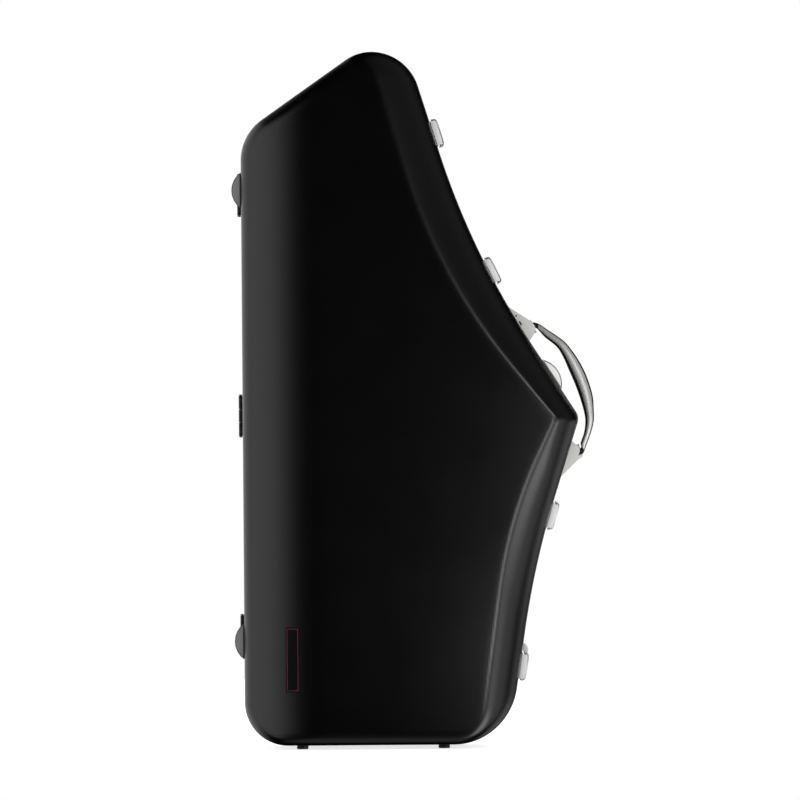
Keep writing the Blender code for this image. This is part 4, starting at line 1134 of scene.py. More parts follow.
@dataclass
class RimSet:
    """Edge profiles inside both walls: a tongue on the lid, a groove and seal on the base."""

    depth: float = 16 * MM
    width: float = 7 * MM
    gap: float = 0.3 * MM
    groove_in: float = 2.4 * MM
    groove_width: float = 2.4 * MM
    groove_depth: float = 3.2 * MM
    tongue_gap: float = 0.4 * MM
    tongue_height: float = 2.0 * MM
    seal_rise: float = 1.3 * MM
    edge: float = 0.35 * MM
    bead_sides: int = 8

    def sweep(self, name: str, section: Sequence[tuple[float, float]]) -> Piece:
        """Carries a closed section round the seam.

        Args:
            name: Name of the piece.
            section: Corners as (inset from the outline, y).

        Returns:
            The swept piece, in the row frame.
        """
        ring, _ = SHAPE.ring(SEAM.inset(SHAPE.edge_radius))
        mesh = bmesh.new()
        loops = [[mesh.verts.new((stop.outer.x - stop.normal.x * inset, y,
                                  stop.outer.y - stop.normal.y * inset)) for stop in ring]
                 for inset, y in section]
        for near, far in zip(loops, loops[1:] + loops[:1]):
            join_rings(mesh, near, far)
        return closed_object(name, mesh, TO_ROW, 50)

    def rounded(self, corners: Sequence[tuple[float, float]]) -> list[tuple[float, float]]:
        """Cuts a small chamfer at each corner of a section."""
        cut = []
        for i, corner in enumerate(corners):
            here = Vector(corner)
            for other in (corners[i - 1], corners[(i + 1) % len(corners)]):
                way = Vector(other) - here
                cut.append(tuple(here + way.normalized() * min(self.edge, way.length * 0.3)))
        return cut

    def build(self) -> list[Piece]:
        """Builds both rims and the seal.

        Returns:
            The pieces.
        """
        outside = LID_SHELL.wall + self.gap
        inside = outside + self.width
        groove = outside + self.groove_in
        groove_end = groove + self.groove_width
        floor = SEAM_GAP + self.groove_depth

        def profile(way: int, near: float, far: float, level: float) -> list[tuple[float, float]]:
            edge, foot = way * SEAM_GAP, way * (SEAM_GAP + self.depth)
            return self.rounded([(outside, foot), (outside, edge), (near, edge), (near, level),
                                 (far, level), (far, edge), (inside, edge), (inside, foot)])

        base = self.sweep("base_rim_profile", profile(1, groove, groove_end, floor))
        lid = self.sweep("lid_rim_profile", profile(
            -1, groove + self.tongue_gap, groove_end - self.tongue_gap,
            self.tongue_height - SEAM_GAP))
        middle = (groove + groove_end) / 2
        half = self.groove_width / 2 - self.gap
        bead = [(middle + half * math.cos(angle),
                 floor - self.gap - self.seal_rise / 2 - self.seal_rise / 2 * math.sin(angle))
                for angle in (math.tau * k / self.bead_sides for k in range(self.bead_sides))]
        seal = self.sweep("rim_seal_bead", bead)
        return [
            dress(base, [RIM], Slot.RIM, Body.BASE, ["base_rim"]),
            dress(lid, [RIM], Slot.RIM, Body.LID, ["lid_rim"]),
            dress(seal, [FOOT_RUBBER], Slot.RUBBER, Body.BASE, ["rim_seal"]),
        ]


# ---- foam linings


@dataclass
class Lining:
    """A foam lining under plush, with soft mouths round its recesses."""

    node: str
    voxel: float = 3.8 * MM
    passes: int = 9
    swell: float = 0.5 * MM
    swell_size: float = 30 * MM

    def build(self) -> Piece:
        """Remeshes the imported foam, softens its edges and lets its faces wander a little.

        Returns:
            The lining.
        """
        piece = new_object(f"{self.node}_plush", packed_mesh(self.node))
        remesh = piece.modifiers.new("even_skin", "REMESH")
        remesh.mode = "VOXEL"
        remesh.voxel_size = self.voxel * 1
        soften = piece.modifiers.new("soft_edges", "SMOOTH")
        soften.factor = 0.5
        soften.iterations = self.passes
        apply_modifiers(piece)
        # Normals are read first, because each moved vertex would make them all anew
        facings = [vertex.normal.copy() for vertex in piece.data.vertices]
        for vertex, facing in zip(piece.data.vertices, facings):
            spot = vertex.co / self.swell_size
            vertex.co += facing * self.swell * (noise.noise(spot) - 0.5)
        piece.data.shade_smooth()
        return dress(piece, [LINING], Slot.PLUSH, body_of_node(self.node), [self.node])


# ---- repeated small pieces


def start_group(name: str, inputs: dict[str, str],
                output: str) -> tuple[Tree, Node]:
    """Starts a geometry tree that a modifier runs.

    Args:
        name: Name of the tree.
        inputs: The kind of each input by its name.
        output: Name of the one output.

    Returns:
        The tree and its input node.
    """
    tree = bpy.data.node_groups.new(name, "GeometryNodeTree")
    tree.is_modifier = True
    for label, kind in inputs.items():
        tree.interface.new_socket(label, in_out="INPUT", socket_type=f"NodeSocket{kind}")
    tree.interface.new_socket(output, in_out="OUTPUT", socket_type="NodeSocketGeometry")
    return tree, add_node(tree, "NodeGroupInput")


def end_group(tree: Tree, points: Socket, template: Node, turned: tuple[str, Socket],
              finish: Socket, output: str, size: Socket | None = None) -> None:
    """Sets a template on every point, makes the copies real and ends the tree.

    Args:
        tree: The tree.
        points: The points or the curve.
        template: The node that gives the template.
        turned: The template's axis and the way that it turns to.
        finish: The copies' material.
        output: Name of the output.
        size: Scale of each copy, or None for 1.
    """
    axis, way = turned
    turn = add_node(tree, "FunctionNodeAlignRotationToVector", {"axis": axis}, {"Vector": way})
    copies = add_node(tree, "GeometryNodeInstanceOnPoints", inputs={
        "Points": points, "Instance": template.outputs["Geometry"],
        "Rotation": turn.outputs["Rotation"]} | ({"Scale": size} if size else {}))
    real = add_node(tree, "GeometryNodeRealizeInstances", inputs={
        "Geometry": copies.outputs["Instances"]})
    dressed = add_node(tree, "GeometryNodeSetMaterial", inputs={
        "Geometry": real.outputs["Geometry"], "Material": finish})
    add_node(tree, "NodeGroupOutput", inputs={output: dressed.outputs["Geometry"]})


@dataclass
class Fasteners:
    """Rivet and screw heads, set out by one Geometry Nodes tree on points with a facing."""

    label: str
    finish: Finish
    slot: Slot
    sides: int = 14
    # A domed head of radius 1 with a turned recess in its middle, as (radius, height)
    profile: tuple[tuple[float, float], ...] = (
        (0, 0.08), (0.34, 0.08), (0.42, 0.26), (0.62, 0.3), (0.86, 0.22), (1, 0.0), (1, -0.2),
        (0, -0.2))
    places: dict[str, list[tuple[Vector, Vector, float]]] = field(default_factory=dict)

    def add(self, body: str, place: Vector, facing: Vector, radius: float) -> None:
        """Notes one head on a body: its seat and facing in the row frame, and its radius."""
        self.places.setdefault(body, []).append((place.copy(), facing.normalized(), radius))

    def template(self) -> Piece:
        """Makes the head that the tree copies."""
        mesh = bmesh.new()
        lathe_mesh(mesh, self.profile, self.sides)
        return closed_object("head_template", mesh)

    def tree(self) -> Tree:
        """Builds the node tree that sets a head on every point.

        Returns:
            The tree, with named inputs for the head and its metal.
        """
        tree, start = start_group("fastener_heads", {
            "Points": "Geometry", "Head": "Object", "Size": "Float", "Metal": "Material"}, "Heads")
        head = add_node(tree, "GeometryNodeObjectInfo", inputs={"Object": start.outputs["Head"]})
        facing, radius = (
            add_node(tree, "GeometryNodeInputNamedAttribute", {"data_type": kind}, {
                "Name": name}).outputs["Attribute"]
            for name, kind in (("facing", "FLOAT_VECTOR"), ("radius", "FLOAT")))
        size = combine(tree, "MULTIPLY", radius, start.outputs["Size"])
        end_group(tree, start.outputs["Points"], head, ("Z", facing), start.outputs["Metal"],
                  "Heads", size)
        return tree

    def build(self) -> list[Piece]:
        """Sets out every noted head, one mesh for each body.

        Returns:
            The meshes of heads.
        """
        head, tree = self.template(), self.tree()
        made = []
        for body, places in self.places.items():
            mesh = bmesh.new()
            facing = mesh.verts.layers.float_vector.new("facing")
            radius = mesh.verts.layers.float.new("radius")
            for place, way, size in places:
                vertex = mesh.verts.new(place)
                vertex[facing] = way
                vertex[radius] = size
            piece = new_object(f"{body}_{self.label}_heads", mesh)
            finish_with_tree(piece, tree, {"Head": head, "Size": 1.0,
                                           "Metal": self.finish.material()})
            smooth(piece, 32)
            made.append(dress(piece, [self.finish], self.slot, body))
        remove(head)
        return made


def finish_with_tree(piece: Piece, tree: Tree, values: dict) -> None:
    """Runs a geometry tree on a piece and keeps the result as its plain mesh.

    Args:
        piece: The mesh object.
        tree: The tree.
        values: Input values by socket name.
    """
    modifier = piece.modifiers.new(tree.name, "NODES")
    modifier.node_group = tree
    for item in tree.interface.items_tree:
        if item.item_type == "SOCKET" and item.in_out == "INPUT" and item.name in values:
            modifier[item.identifier] = values[item.name]
    piece.update_tag()
    bpy.context.view_layer.update()
    apply_modifiers(piece)


@dataclass
class Stitching:
    """Runs of lock stitches along sewn lines, set out by one Geometry Nodes tree."""

    pitch: float = 3.2 * MM
    thread: float = 0.45 * MM
    stitch_share: float = 0.72
    sides: int = 6

    def template(self) -> Piece:
        """Makes one stitch that bows over its two holes, along x."""
        half, low = self.pitch * self.stitch_share / 2, 0.7 * self.thread
        profile = [(0, -half), (low, -half * 0.86), (self.thread, -half * 0.5),
                   (self.thread, half * 0.5), (low, half * 0.86), (0, half)]
        mesh = bmesh.new()
        lathe_mesh(mesh, profile, self.sides, Matrix.Rotation(QUARTER_TURN, 4, "Y"))
        return closed_object("stitch_template", mesh)

    def tree(self) -> Tree:
        """Builds the node tree that lays stitches along a line.

        Returns:
            The tree, with named inputs for the stitch, its pitch and its thread.
        """
        tree, start = start_group("lock_stitches", {
            "Lines": "Geometry", "Stitch": "Object", "Pitch": "Float",
            "Thread": "Material"}, "Stitches")
        lines = add_node(tree, "GeometryNodeMeshToCurve", inputs={"Mesh": start.outputs["Lines"]})
        even = add_node(tree, "GeometryNodeResampleCurve", {"mode": "LENGTH"}, {
            "Curve": lines.outputs["Curve"], "Length": start.outputs["Pitch"]})
        stitch = add_node(tree, "GeometryNodeObjectInfo", inputs={
            "Object": start.outputs["Stitch"]})
        along = add_node(tree, "GeometryNodeInputTangent")
        end_group(tree, even.outputs["Curve"], stitch, ("X", along.outputs["Tangent"]),
                  start.outputs["Thread"], "Stitches")
        return tree

    def build(self, lines: Sequence[Sequence[Vector]], body: str) -> Piece:
        """Sews along the given lines.

        Args:
            lines: Each line as its points in the row frame.
            body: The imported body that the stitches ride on.

        Returns:
            The stitches.
        """
        mesh = bmesh.new()
        for line in lines:
            spots = [mesh.verts.new(point) for point in line]
            for near, far in zip(spots, spots[1:]):
                mesh.edges.new((near, far))
        piece = new_object("strap_stitches", mesh)
        stitch = self.template()
        finish_with_tree(piece, self.tree(), {"Stitch": stitch, "Pitch": self.pitch,
                                              "Thread": THREAD.material()})
        remove(stitch)
        piece.data.shade_smooth()
        return dress(piece, [THREAD], Slot.WEBBING, body)


# ---- retaining straps


@dataclass
class RetainingStrap:
    """A webbing strap over a long recess, sewn at both ends and closed by a woven patch."""

    node: str
    left: float
    right: float
    height: float
    width: float = 38 * MM
    thickness: float = 1.7 * MM
    top: float = 4 * MM
    gap: float = 0.3 * MM
    rise: float = 2.0 * MM
    lap: float = 20 * MM
    patch: float = 52 * MM
    long_steps: int = 56
    wide_steps: int = 10
    edge_power: int = 12
    patch_margin: float = 2.5 * MM
    seam_margin: float = 4 * MM
    end_margin: float = 3 * MM
    patch_seam: float = 2 * MM
    stitch_lift: float = 0.1 * MM
    stitch_step: float = 2 * MM

    def under(self, x: float) -> float:
        """Height of the strap's underside from the seam at x."""
        share = min(max((x - self.left) / (self.right - self.left), 0), 1)
        return self.top - self.gap - self.rise * math.sin(math.pi * share) ** 2

    def band(self, name: str, left: float, right: float, lift: float,
             width: float) -> Piece:
        """Builds one layer of webbing with rolled edges.

        Args:
            name: Name of the layer.
            left: Where it starts, from the spine wall.
            right: Where it ends.
            lift: How far it lies above the strap's underside.
            width: Its width.

        Returns:
            The layer, in the row frame.
        """
        mesh = bmesh.new()
        shares = [2 * k / self.wide_steps - 1 for k in range(self.wide_steps + 1)]
        rings = []
        for step in range(self.long_steps + 1):
            x = left + (right - left) * step / self.long_steps
            middle = self.under(x) - lift - self.thickness / 2
            ring = []
            for side, run in ((-1, shares), (1, shares[-2:0:-1])):
                for share in run:
                    rolled = self.thickness / 2 * (1 - abs(share) ** self.edge_power)
                    ring.append(mesh.verts.new((x, middle + side * rolled,
                                                self.height + share * width / 2)))
            rings.append(ring)
        add_prism(mesh, rings)
        return closed_object(name, mesh, TO_ROW, 60)

    def line(self, corners: Sequence[tuple[float, float]], lift: float) -> list[Vector]:
        """Lays a sewn line over the strap.

        Args:
            corners: Corners as (x, distance from the strap's middle).
            lift: How far the line lies above the strap's underside.

        Returns:
            Its points in the row frame.
        """
        points = []
        for (x1, z1), (x2, z2) in zip(corners, corners[1:]):
            steps = max(int(math.hypot(x2 - x1, z2 - z1) / self.stitch_step), 1)
            for step in range(steps + (1 if (x2, z2) == corners[-1] else 0)):
                share = step / steps
                x = x1 + (x2 - x1) * share
                points.append(TO_ROW @ Vector((x, self.under(x) - lift,
                                               self.height + z1 + (z2 - z1) * share)))
        return points

    def box(self, near: float, far: float, half: float, lift: float) -> list[Vector]:
        """Lays a sewn rectangle over the strap."""
        return self.line([(near, -half), (far, -half), (far, half), (near, half),
                          (near, -half)], lift)

    def build(self) -> list[list[Vector]]:
        """Builds the strap and its patch.

        Returns:
            The sewn lines of its ends and of its patch.
        """
        dress(self.band(f"{self.node}_webbing", self.left, self.right, 0, self.width), [STRAP],
              Slot.WEBBING, Body.BASE, [self.node])
        middle = (self.left + self.right) / 2
        near, far = middle - self.patch / 2, middle + self.patch / 2
        dress(self.band(f"{self.node}_patch", near, far, self.thickness,
                        self.width - 2 * self.patch_margin), [STRAP], Slot.WEBBING, Body.BASE)
        half = self.width / 2 - self.seam_margin
        surface = self.thickness + self.stitch_lift
        lines = []
        for start, way in ((self.left + self.end_margin, 1), (self.right - self.end_margin, -1)):
            end = start + way * (self.lap - 2 * self.end_margin)
            lines += [self.box(start, end, half, surface),
                      self.line([(start, -half), (end, half)], surface),
                      self.line([(end, -half), (start, half)], surface)]
        lines.append(self.box(near + self.patch_seam, far - self.patch_seam,
                              half - self.patch_seam, self.thickness + surface))
        return lines


# ---- hinges


@dataclass
class SpineHinge:
    """One butt hinge on the spine wall: two leaves, a headed pin and its screws."""

    label: str
    height: float
    edge: float = 0.25 * MM
    leaf_out: float = 1.5 * MM
    screw_y: float = 8.4 * MM
    screw_steps: tuple[float, ...] = (-18 * MM, -6.4 * MM, 6.4 * MM, 18 * MM)
    screw_radius: float = 1.7 * MM

    def build(self, fasteners: Fasteners) -> None:
        """Builds the hinge's finished pieces and notes its screws.

        Args:
            fasteners: Takes the screws.
        """
        for part in ("base_leaf", "lid_leaf", "pin"):
            dress_packed(f"{self.label}_hinge_{part}", self.edge, HINGE, Slot.HINGE)
        for body, side in ((Body.BASE, 1), (Body.LID, -1)):
            for step in self.screw_steps:
                seat = TO_ROW @ Vector((-self.leaf_out, side * self.screw_y, self.height + step))
                fasteners.add(body, seat, Vector((-1, 0, 0)), self.screw_radius)


# ---- latches


@dataclass
class DrawLatch:
    """One draw latch: base plate, cast lever cover, hook and the lid's keeper."""

    number: int
    height: float
    width: float = 33 * MM
    proud: float = 8.8 * MM
    skin: float = 1.5 * MM
    corner: float = 4.2 * MM
    lift: float = 2.4 * MM
    near: float = 8 * MM
    far: float = 38 * MM
    window: float = 13.8 * MM
    slot_far: float = 24.5 * MM
    slot_half: float = 10.2 * MM
    pivots: tuple[tuple[float, float], ...] = ((5.2 * MM, 10.5 * MM), (4.4 * MM, 20 * MM))
    stub: float = 1.5 * MM
    stub_sides: int = 16
    head_sunk: float = 0.5 * MM
    head_radius: float = 1.2 * MM
    arc_steps: int = 7
    edge: float = 0.4 * MM
    part_edge: float = 0.3 * MM
    ribs: int = 4
    rib_start: float = 2.6 * MM
    rib_pitch: float = 2.4 * MM
    rib_size: tuple[float, float, float] = (20 * MM, 1.1 * MM, 0.5 * MM)
    rib_sunk: float = 0.2 * MM
    rib_rise: float = 0.45 * MM
    crest_share: tuple[float, float] = (0.985, 0.55)

    def section(self) -> list[Vector]:
        """Section of the lever: a channel with round shoulders, as (out, up the wall)."""
        angles = [QUARTER_TURN * step / self.arc_steps for step in range(self.arc_steps + 1)]
        runs = []
        for shift in (0.0, self.skin):
            radius = self.corner - shift
            top, side = self.proud - shift, self.width / 2 - shift
            half = [Vector((self.lift, side))] + [
                Vector((top - radius + radius * math.sin(angle),
                        side - radius + radius * math.cos(angle))) for angle in angles]
            runs.append(half + [Vector((point.x, -point.y)) for point in reversed(half)])
        return runs[0] + runs[1][::-1]

    def lever(self, place: Matrix) -> Piece:
        """Builds the lever cover.

        Args:
            place: The latch's frame on the wall.

        Returns:
            The lever.
        """
        mesh = bmesh.new()
        section = self.section()
        count = len(section)
        loops = [[mesh.verts.new((point.x, y, point.y)) for point in section]
                 for y in (self.near, self.far)]
        join_rings(mesh, *loops)
        for loop in loops:
            for k in range(count // 2 - 1):
                mesh.faces.new((loop[k], loop[k + 1], loop[count - 2 - k], loop[count - 1 - k]))
        lever = closed_object(f"latch_{self.number}_lever_cover", mesh, place)
        inside = self.width / 2 - self.skin
        cutters = [self.opening(inside, self.window, place),
                   self.opening(self.slot_half, self.slot_far, place)]
        reach = self.width / 2 + MM
        for out, y in self.pivots:
            bore = bmesh.new()
            lathe_mesh(bore, [(0, -reach), (self.stub, -reach), (self.stub, reach), (0, reach)],
                       self.stub_sides, place @ Matrix.Translation((out, y, 0)))
            cutters.append(closed_object("bore", bore))
        # Each cutter puts its painted shade on the walls that it cuts
        for cutter in cutters:
            cutter.data.materials.append(RECESS_SHADE.material())
        lever.data.materials.append(LATCH.material())
        carve(lever, cutters)
        round_edges(lever, self.edge, 2, 45)
        # The faces that turn inwards, under the cover, take the dark painted shade
        back = place.inverted()
        for polygon in lever.data.polygons:
            spot, way = back @ polygon.center, back.to_3x3() @ polygon.normal
            outwards = Vector((spot.x - self.lift, 0, spot.z))
            polygon.material_index = 1 if way.dot(outwards) < -self.edge else 0
        smooth(lever, 40)
        return lever

    def opening(self, half: float, far: float, place: Matrix) -> Piece:
        """Makes the helper block that opens the cover's face.

        Args:
            half: Half the width of the opening.
            far: Where it ends, across the seam.
            place: The latch's frame on the wall.

        Returns:
            The block.
        """
        low = Vector((self.proud - self.corner, self.near - MM, -half))
        high = Vector((self.proud + MM, far, half))
        mesh = bmesh.new()
        bmesh.ops.create_cube(mesh, size=1, matrix=place @ Matrix.Translation((low + high) / 2)
                              @ Matrix.Diagonal((*(high - low), 1)))
        return new_object("opening", mesh)

    def finger_ribs(self, place: Matrix) -> Piece:
        """Builds the raised ribs that the thumb lifts the lever by.

        Args:
            place: The latch's frame on the wall.

        Returns:
            The ribs as one mesh.
        """
        mesh = bmesh.new()
        length, width, radius = self.rib_size
        outline = rounded_rectangle(length, width, radius, 3)
        for k in range(self.ribs):
            y = self.far - self.rib_start - k * self.rib_pitch
            add_prism(mesh, [
                [mesh.verts.new(place @ Vector((self.proud + out, y + p.y * thin, p.x * short)))
                 for p in outline]
                for out, (short, thin) in ((-self.rib_sunk, (1, 1)),
                                           (self.rib_rise, self.crest_share))])
        return closed_object(f"latch_{self.number}_lever_ribs", mesh, sharp_degrees=50)

    def build(self, fasteners: Fasteners) -> None:
        """Builds the latch's pieces and notes its pivot heads.

        Args:
            fasteners: Takes the heads.
        """
        place = TO_ROW @ wall_frame(self.height)
        node, body = f"latch_{self.number}_lever", f"lever_{self.number}"
        dress(self.lever(place), [LATCH, LATCH_SHADE], Slot.STEEL, body, [node])
        dress(self.finger_ribs(place), [LATCH], Slot.STEEL, body)
        for part, finish in (("plate", STEEL), ("hook", STEEL), ("keeper", KEEPER)):
            dress_packed(f"latch_{self.number}_{part}", self.part_edge, finish, Slot.STEEL)
        side = self.width / 2 - self.head_sunk
        for (out, y), body in zip(self.pivots, (Body.BASE, f"hook_{self.number}")):
            for sign in (1, -1):
                fasteners.add(body, place @ Vector((out, y, sign * side)),
                              place.to_3x3() @ Vector((0, 0, sign)), self.head_radius)


@dataclass
class LatchCap:
    """The small domed cap beside the lowest latch."""

    node: str = "latch_1_cap"
    edge: float = 0.6 * MM

    def build(self) -> None:
        """Builds the finished cap."""
        dress_packed(self.node, self.edge, NYLON, Slot.GREY_PLASTIC, 3)


# ---- handle


@dataclass
class CarryingHandle:
    """The arched grip with painted shade on its palm side, two moulded brackets and two pins."""

    side_y: float = 28 * MM
    upper_pivot: tuple[float, float] = (461 * MM, 9.2 * MM)
    lower_pivot: tuple[float, float] = (335 * MM, 7.8 * MM)
    reach: float = 40 * MM
    width: float = 26 * MM
    neck_width: float = 14 * MM
    neck_rise: float = 5.2 * MM
    knuckle_near: float = 0.5 * MM
    knuckle_far: float = 8.5 * MM
    knuckle_radius: float = 4.2 * MM
    knuckle_edge: float = 0.5 * MM
    knuckle_sides: int = 24
    # Sections as shares of length and reach: outer edge, inner edge, width
    sections: tuple[tuple[float, ...], ...] = (
        (-0.025, 0.280, 0.025, 0.195, 0.65),
        (0.025, 0.402, 0.089, 0.290, 0.78),
        (0.161, 0.735, 0.186, 0.492, 0.96),
        (0.277, 0.882, 0.274, 0.560, 1.0),
        (0.397, 0.968, 0.390, 0.585, 1.0),
        (0.513, 0.995, 0.511, 0.605, 1.0),
        (0.654, 0.960, 0.630, 0.602, 1.0),
        (0.757, 0.855, 0.744, 0.570, 1.0),
        (0.846, 0.738, 0.823, 0.510, 0.96),
        (0.927, 0.543, 0.908, 0.358, 0.80),
        (1.011, 0.285, 0.973, 0.168, 0.65),
    )
    square_share: float = 0.85
    sides: int = 40
    steps: int = 6
    # Where the grip is painted dark, as shares of its section: painted shade on the palm side below,
    # a painted dark outline on the outer edge above
    body_share: float = 0.7
    palm_edge: float = -0.6
    strip_edge: float = 0.74
    groove_half: float = 0.06
    groove: float = 0.45 * MM
    # Outline of each bracket's cheek, as (height on the wall, distance out)
    cheeks: dict[str, tuple[tuple[float, float], ...]] = field(default_factory=lambda: {
        "upper": ((493.4 * MM, 0.3 * MM), (471.3 * MM, 13.2 * MM), (463.3 * MM, 15.1 * MM),
                  (458.2 * MM, 11.0 * MM), (454.3 * MM, 0.3 * MM)),
        "lower": ((340.8 * MM, 0.3 * MM), (336.4 * MM, 11.6 * MM), (331.1 * MM, 12.6 * MM),
                  (321.0 * MM, 11.2 * MM), (300.8 * MM, 0.3 * MM))})
    cheek_cut: float = 0.22
    cheek_inner: float = 11.6 * MM
    cheek_outer: float = 14.4 * MM
    cheek_edge: float = 0.5 * MM
    bracket_edge: float = 0.7 * MM
    pin_edge: float = 0.3 * MM
    dot: tuple[float, float] = (481.8 * MM, 2.6 * MM)
    slot: tuple[float, float] = (473.6 * MM, 2.4 * MM)
    slot_length: float = 3.4 * MM
    mark_radius: float = 0.95 * MM
    mark_depth: float = 0.35 * MM

    def axis(self) -> tuple[Matrix, float]:
        """Finds the axis through both pivots.

        Returns:
            Its frame in the case's frame, x outwards and z upwards, and its length.
        """
        across = Matrix.Translation((0, self.side_y, 0))
        top, foot = (wall_frame(z) @ across @ Vector((out, 0, 0))
                     for z, out in (self.upper_pivot, self.lower_pivot))
        up = (top - foot).normalized()
        out = Vector((0, 1, 0)).cross(up)
        turned = Matrix((out, Vector((0, 1, 0)), up)).transposed().to_4x4()
        turned.translation = foot
        return turned, (top - foot).length

    def section_run(self, length: float) -> list[tuple[float, ...]]:
        """Lists the grip's sections from the upper neck to the lower one.

        Args:
            length: Distance between the pivots.

        Returns:
            Sections as (outer z, outer x, inner z, inner x, width, body share).
        """
        far, near = self.knuckle_far, 3 * self.knuckle_near
        ends = [[(z + way * far, rise, z + way * near, rise, self.neck_width, 0.0)
                 for rise in (0.0, self.neck_rise)] for z, way in ((length, 1), (0.0, -1))]
        body = [(length * (1 - a), self.reach * b, length * (1 - c), self.reach * d,
                 self.width * w, 1.0) for a, b, c, d, w in self.sections]
        run = ends[0] + body + ends[1][::-1]
        fine = []
        for i in range(len(run) - 1):
            before, here = run[max(i - 1, 0)], run[i]
            after, beyond = run[i + 1], run[min(i + 2, len(run) - 1)]
            for step in range(self.steps):
                t = step / self.steps
                fine.append(tuple(
                    0.5 * ((2 * b) + (c - a) * t + (2 * a - 5 * b + 4 * c - d) * t * t
                           + (3 * b - a - 3 * c + d) * t ** 3)
                    for a, b, c, d in zip(before, here, after, beyond)))
        return fine + [run[-1]]

    def grip(self, place: Matrix, length: float) -> Piece:
        """Builds the grip: silver body, dark palm insert and dark outer strip.

        Args:
            place: The axis frame in the row frame.
            length: Distance between the pivots.

        Returns:
            The grip.
        """
        mesh = bmesh.new()
        rings, kinds = [], []
        for outer_z, outer_x, inner_z, inner_x, width, body in self.section_run(length):
            outer, inner = Vector((outer_x, 0, outer_z)), Vector((inner_x, 0, inner_z))
            middle, thick = (outer + inner) / 2, (outer - inner) / 2
            ring, sides = [], []
            for side in range(self.sides):
                angle = math.tau * (side + 0.5) / self.sides
                u, v = (math.copysign(abs(share) ** self.square_share, share)
                        for share in (math.cos(angle), math.sin(angle)))
                sides.append((u, v))
                spot = middle + thick * u + Vector((0, v * width / 2, 0))
                if body > self.body_share and self.in_groove(u, v):
                    spot += (middle - spot).normalized() * self.groove
                ring.append(mesh.verts.new(spot))
            rings.append(ring)
            kinds.append((sides, body))
        for near, far, (sides, body) in zip(rings, rings[1:], kinds):
            for k, face in enumerate(join_rings(mesh, near, far)):
                after = (k + 1) % self.sides
                u = (sides[k][0] + sides[after][0]) / 2
                v = abs(sides[k][1] + sides[after][1]) / 2
                # Painted shade: the necks and the palm side, and a dark outline along the outer
                # edge, take the dark rubber colour
                palm = body < self.body_share or u < self.palm_edge
                strip = u > 0 and v < self.strip_edge
                face.material_index = int(palm or strip)
        mesh.faces.new(rings[0])
        mesh.faces.new(rings[-1])
        slim = self.knuckle_radius - self.knuckle_edge
        for z, way in ((length, 1), (0.0, -1)):
            low, high = sorted((z + way * self.knuckle_near, z + way * self.knuckle_far))
            lathe_mesh(mesh, [(0, low), (slim, low),
                              (self.knuckle_radius, low + self.knuckle_edge),
                              (self.knuckle_radius, high - self.knuckle_edge),
                              (slim, high), (0, high)], self.knuckle_sides)
        return closed_object("handle_grip_moulding", mesh, place, 45)

    def in_groove(self, u: float, v: float) -> bool:
        """True where a seam between silver and dark runs round the section."""
        beside_strip = u > 0 and abs(abs(v) - self.strip_edge) < self.groove_half
        return beside_strip or abs(u - self.palm_edge) < self.groove_half

    def cheek(self, label: str, sign: int) -> Piece:
        """Builds the moulded cheek that closes one side of a bracket.

        Args:
            label: upper or lower.
            sign: -1 for the lid's side, 1 for the base's.

        Returns:
            The cheek.
        """
        profile = [Vector(point) for point in self.cheeks[label]]
        for _ in range(2):
            softer = [profile[0]]
            for near, far in zip(profile, profile[1:]):
                softer += [near.lerp(far, self.cheek_cut), near.lerp(far, 1 - self.cheek_cut)]
            profile = softer + [profile[-1]]
        faces = (self.side_y + sign * self.cheek_inner, self.side_y + sign * self.cheek_outer)
        mesh = bmesh.new()
        add_prism(mesh, [[mesh.verts.new(wall_frame(z) @ Vector((out, y, 0)))
                          for z, out in profile] for y in faces])
        half = Body.LID if sign < 0 else Body.BASE
        cheek = closed_object(f"{label}_handle_cheek_{half}", mesh, TO_ROW)
        cheek.data.materials.append(NYLON.material())
        round_edges(cheek, self.cheek_edge, 3, 60)
        if label == "upper" and sign < 0:
            carve(cheek, self.marks(min(faces)))
        smooth(cheek, 40)
        return cheek

    def marks(self, face_y: float) -> list[Piece]:
        """Makes the cutters of the sunk dot and slot beside the wall.

        Args:
            face_y: Where the cheek's face lies.

        Returns:
            The cutters.
        """
        cutters = []
        width, depth = 2 * self.mark_radius, self.mark_depth
        for (height, out), length in ((self.dot, 0.0), (self.slot, self.slot_length)):
            place = wall_frame(height) @ Matrix.Translation((out, face_y, 0))
            outline = rounded_rectangle(width, width + length, self.mark_radius * 0.98, 6)
            mesh = bmesh.new()
            add_prism(mesh, [[mesh.verts.new(place @ Vector((p.x, y, p.y))) for p in outline]
                             for y in (-depth, depth)])
            cutter = closed_object("mark", mesh, TO_ROW)
            # The cutter puts its painted shade on the sunk walls
            cutter.data.materials.append(RECESS_SHADE.material())
            cutters.append(cutter)
        return cutters

    def build(self) -> None:
        """Builds the handle's pieces."""
        axis, length = self.axis()
        dress(self.grip(TO_ROW @ axis, length), [GRIP_SKIN, GRIP_SHADE_RUBBER], Slot.GRIP, Body.HANDLE,
              ["handle_grip"])
        for label in ("upper", "lower"):
            dress_packed(f"{label}_handle_bracket", self.bracket_edge, NYLON, Slot.GREY_PLASTIC, 3)
            for sign in (-1, 1):
                dress(self.cheek(label, sign), [NYLON, RECESS_SHADE], Slot.GREY_PLASTIC, Body.BASE)
            dress_packed(f"{label}_handle_pin", self.pin_edge, STEEL, Slot.STEEL)


# ---- bumpers, rest and feet


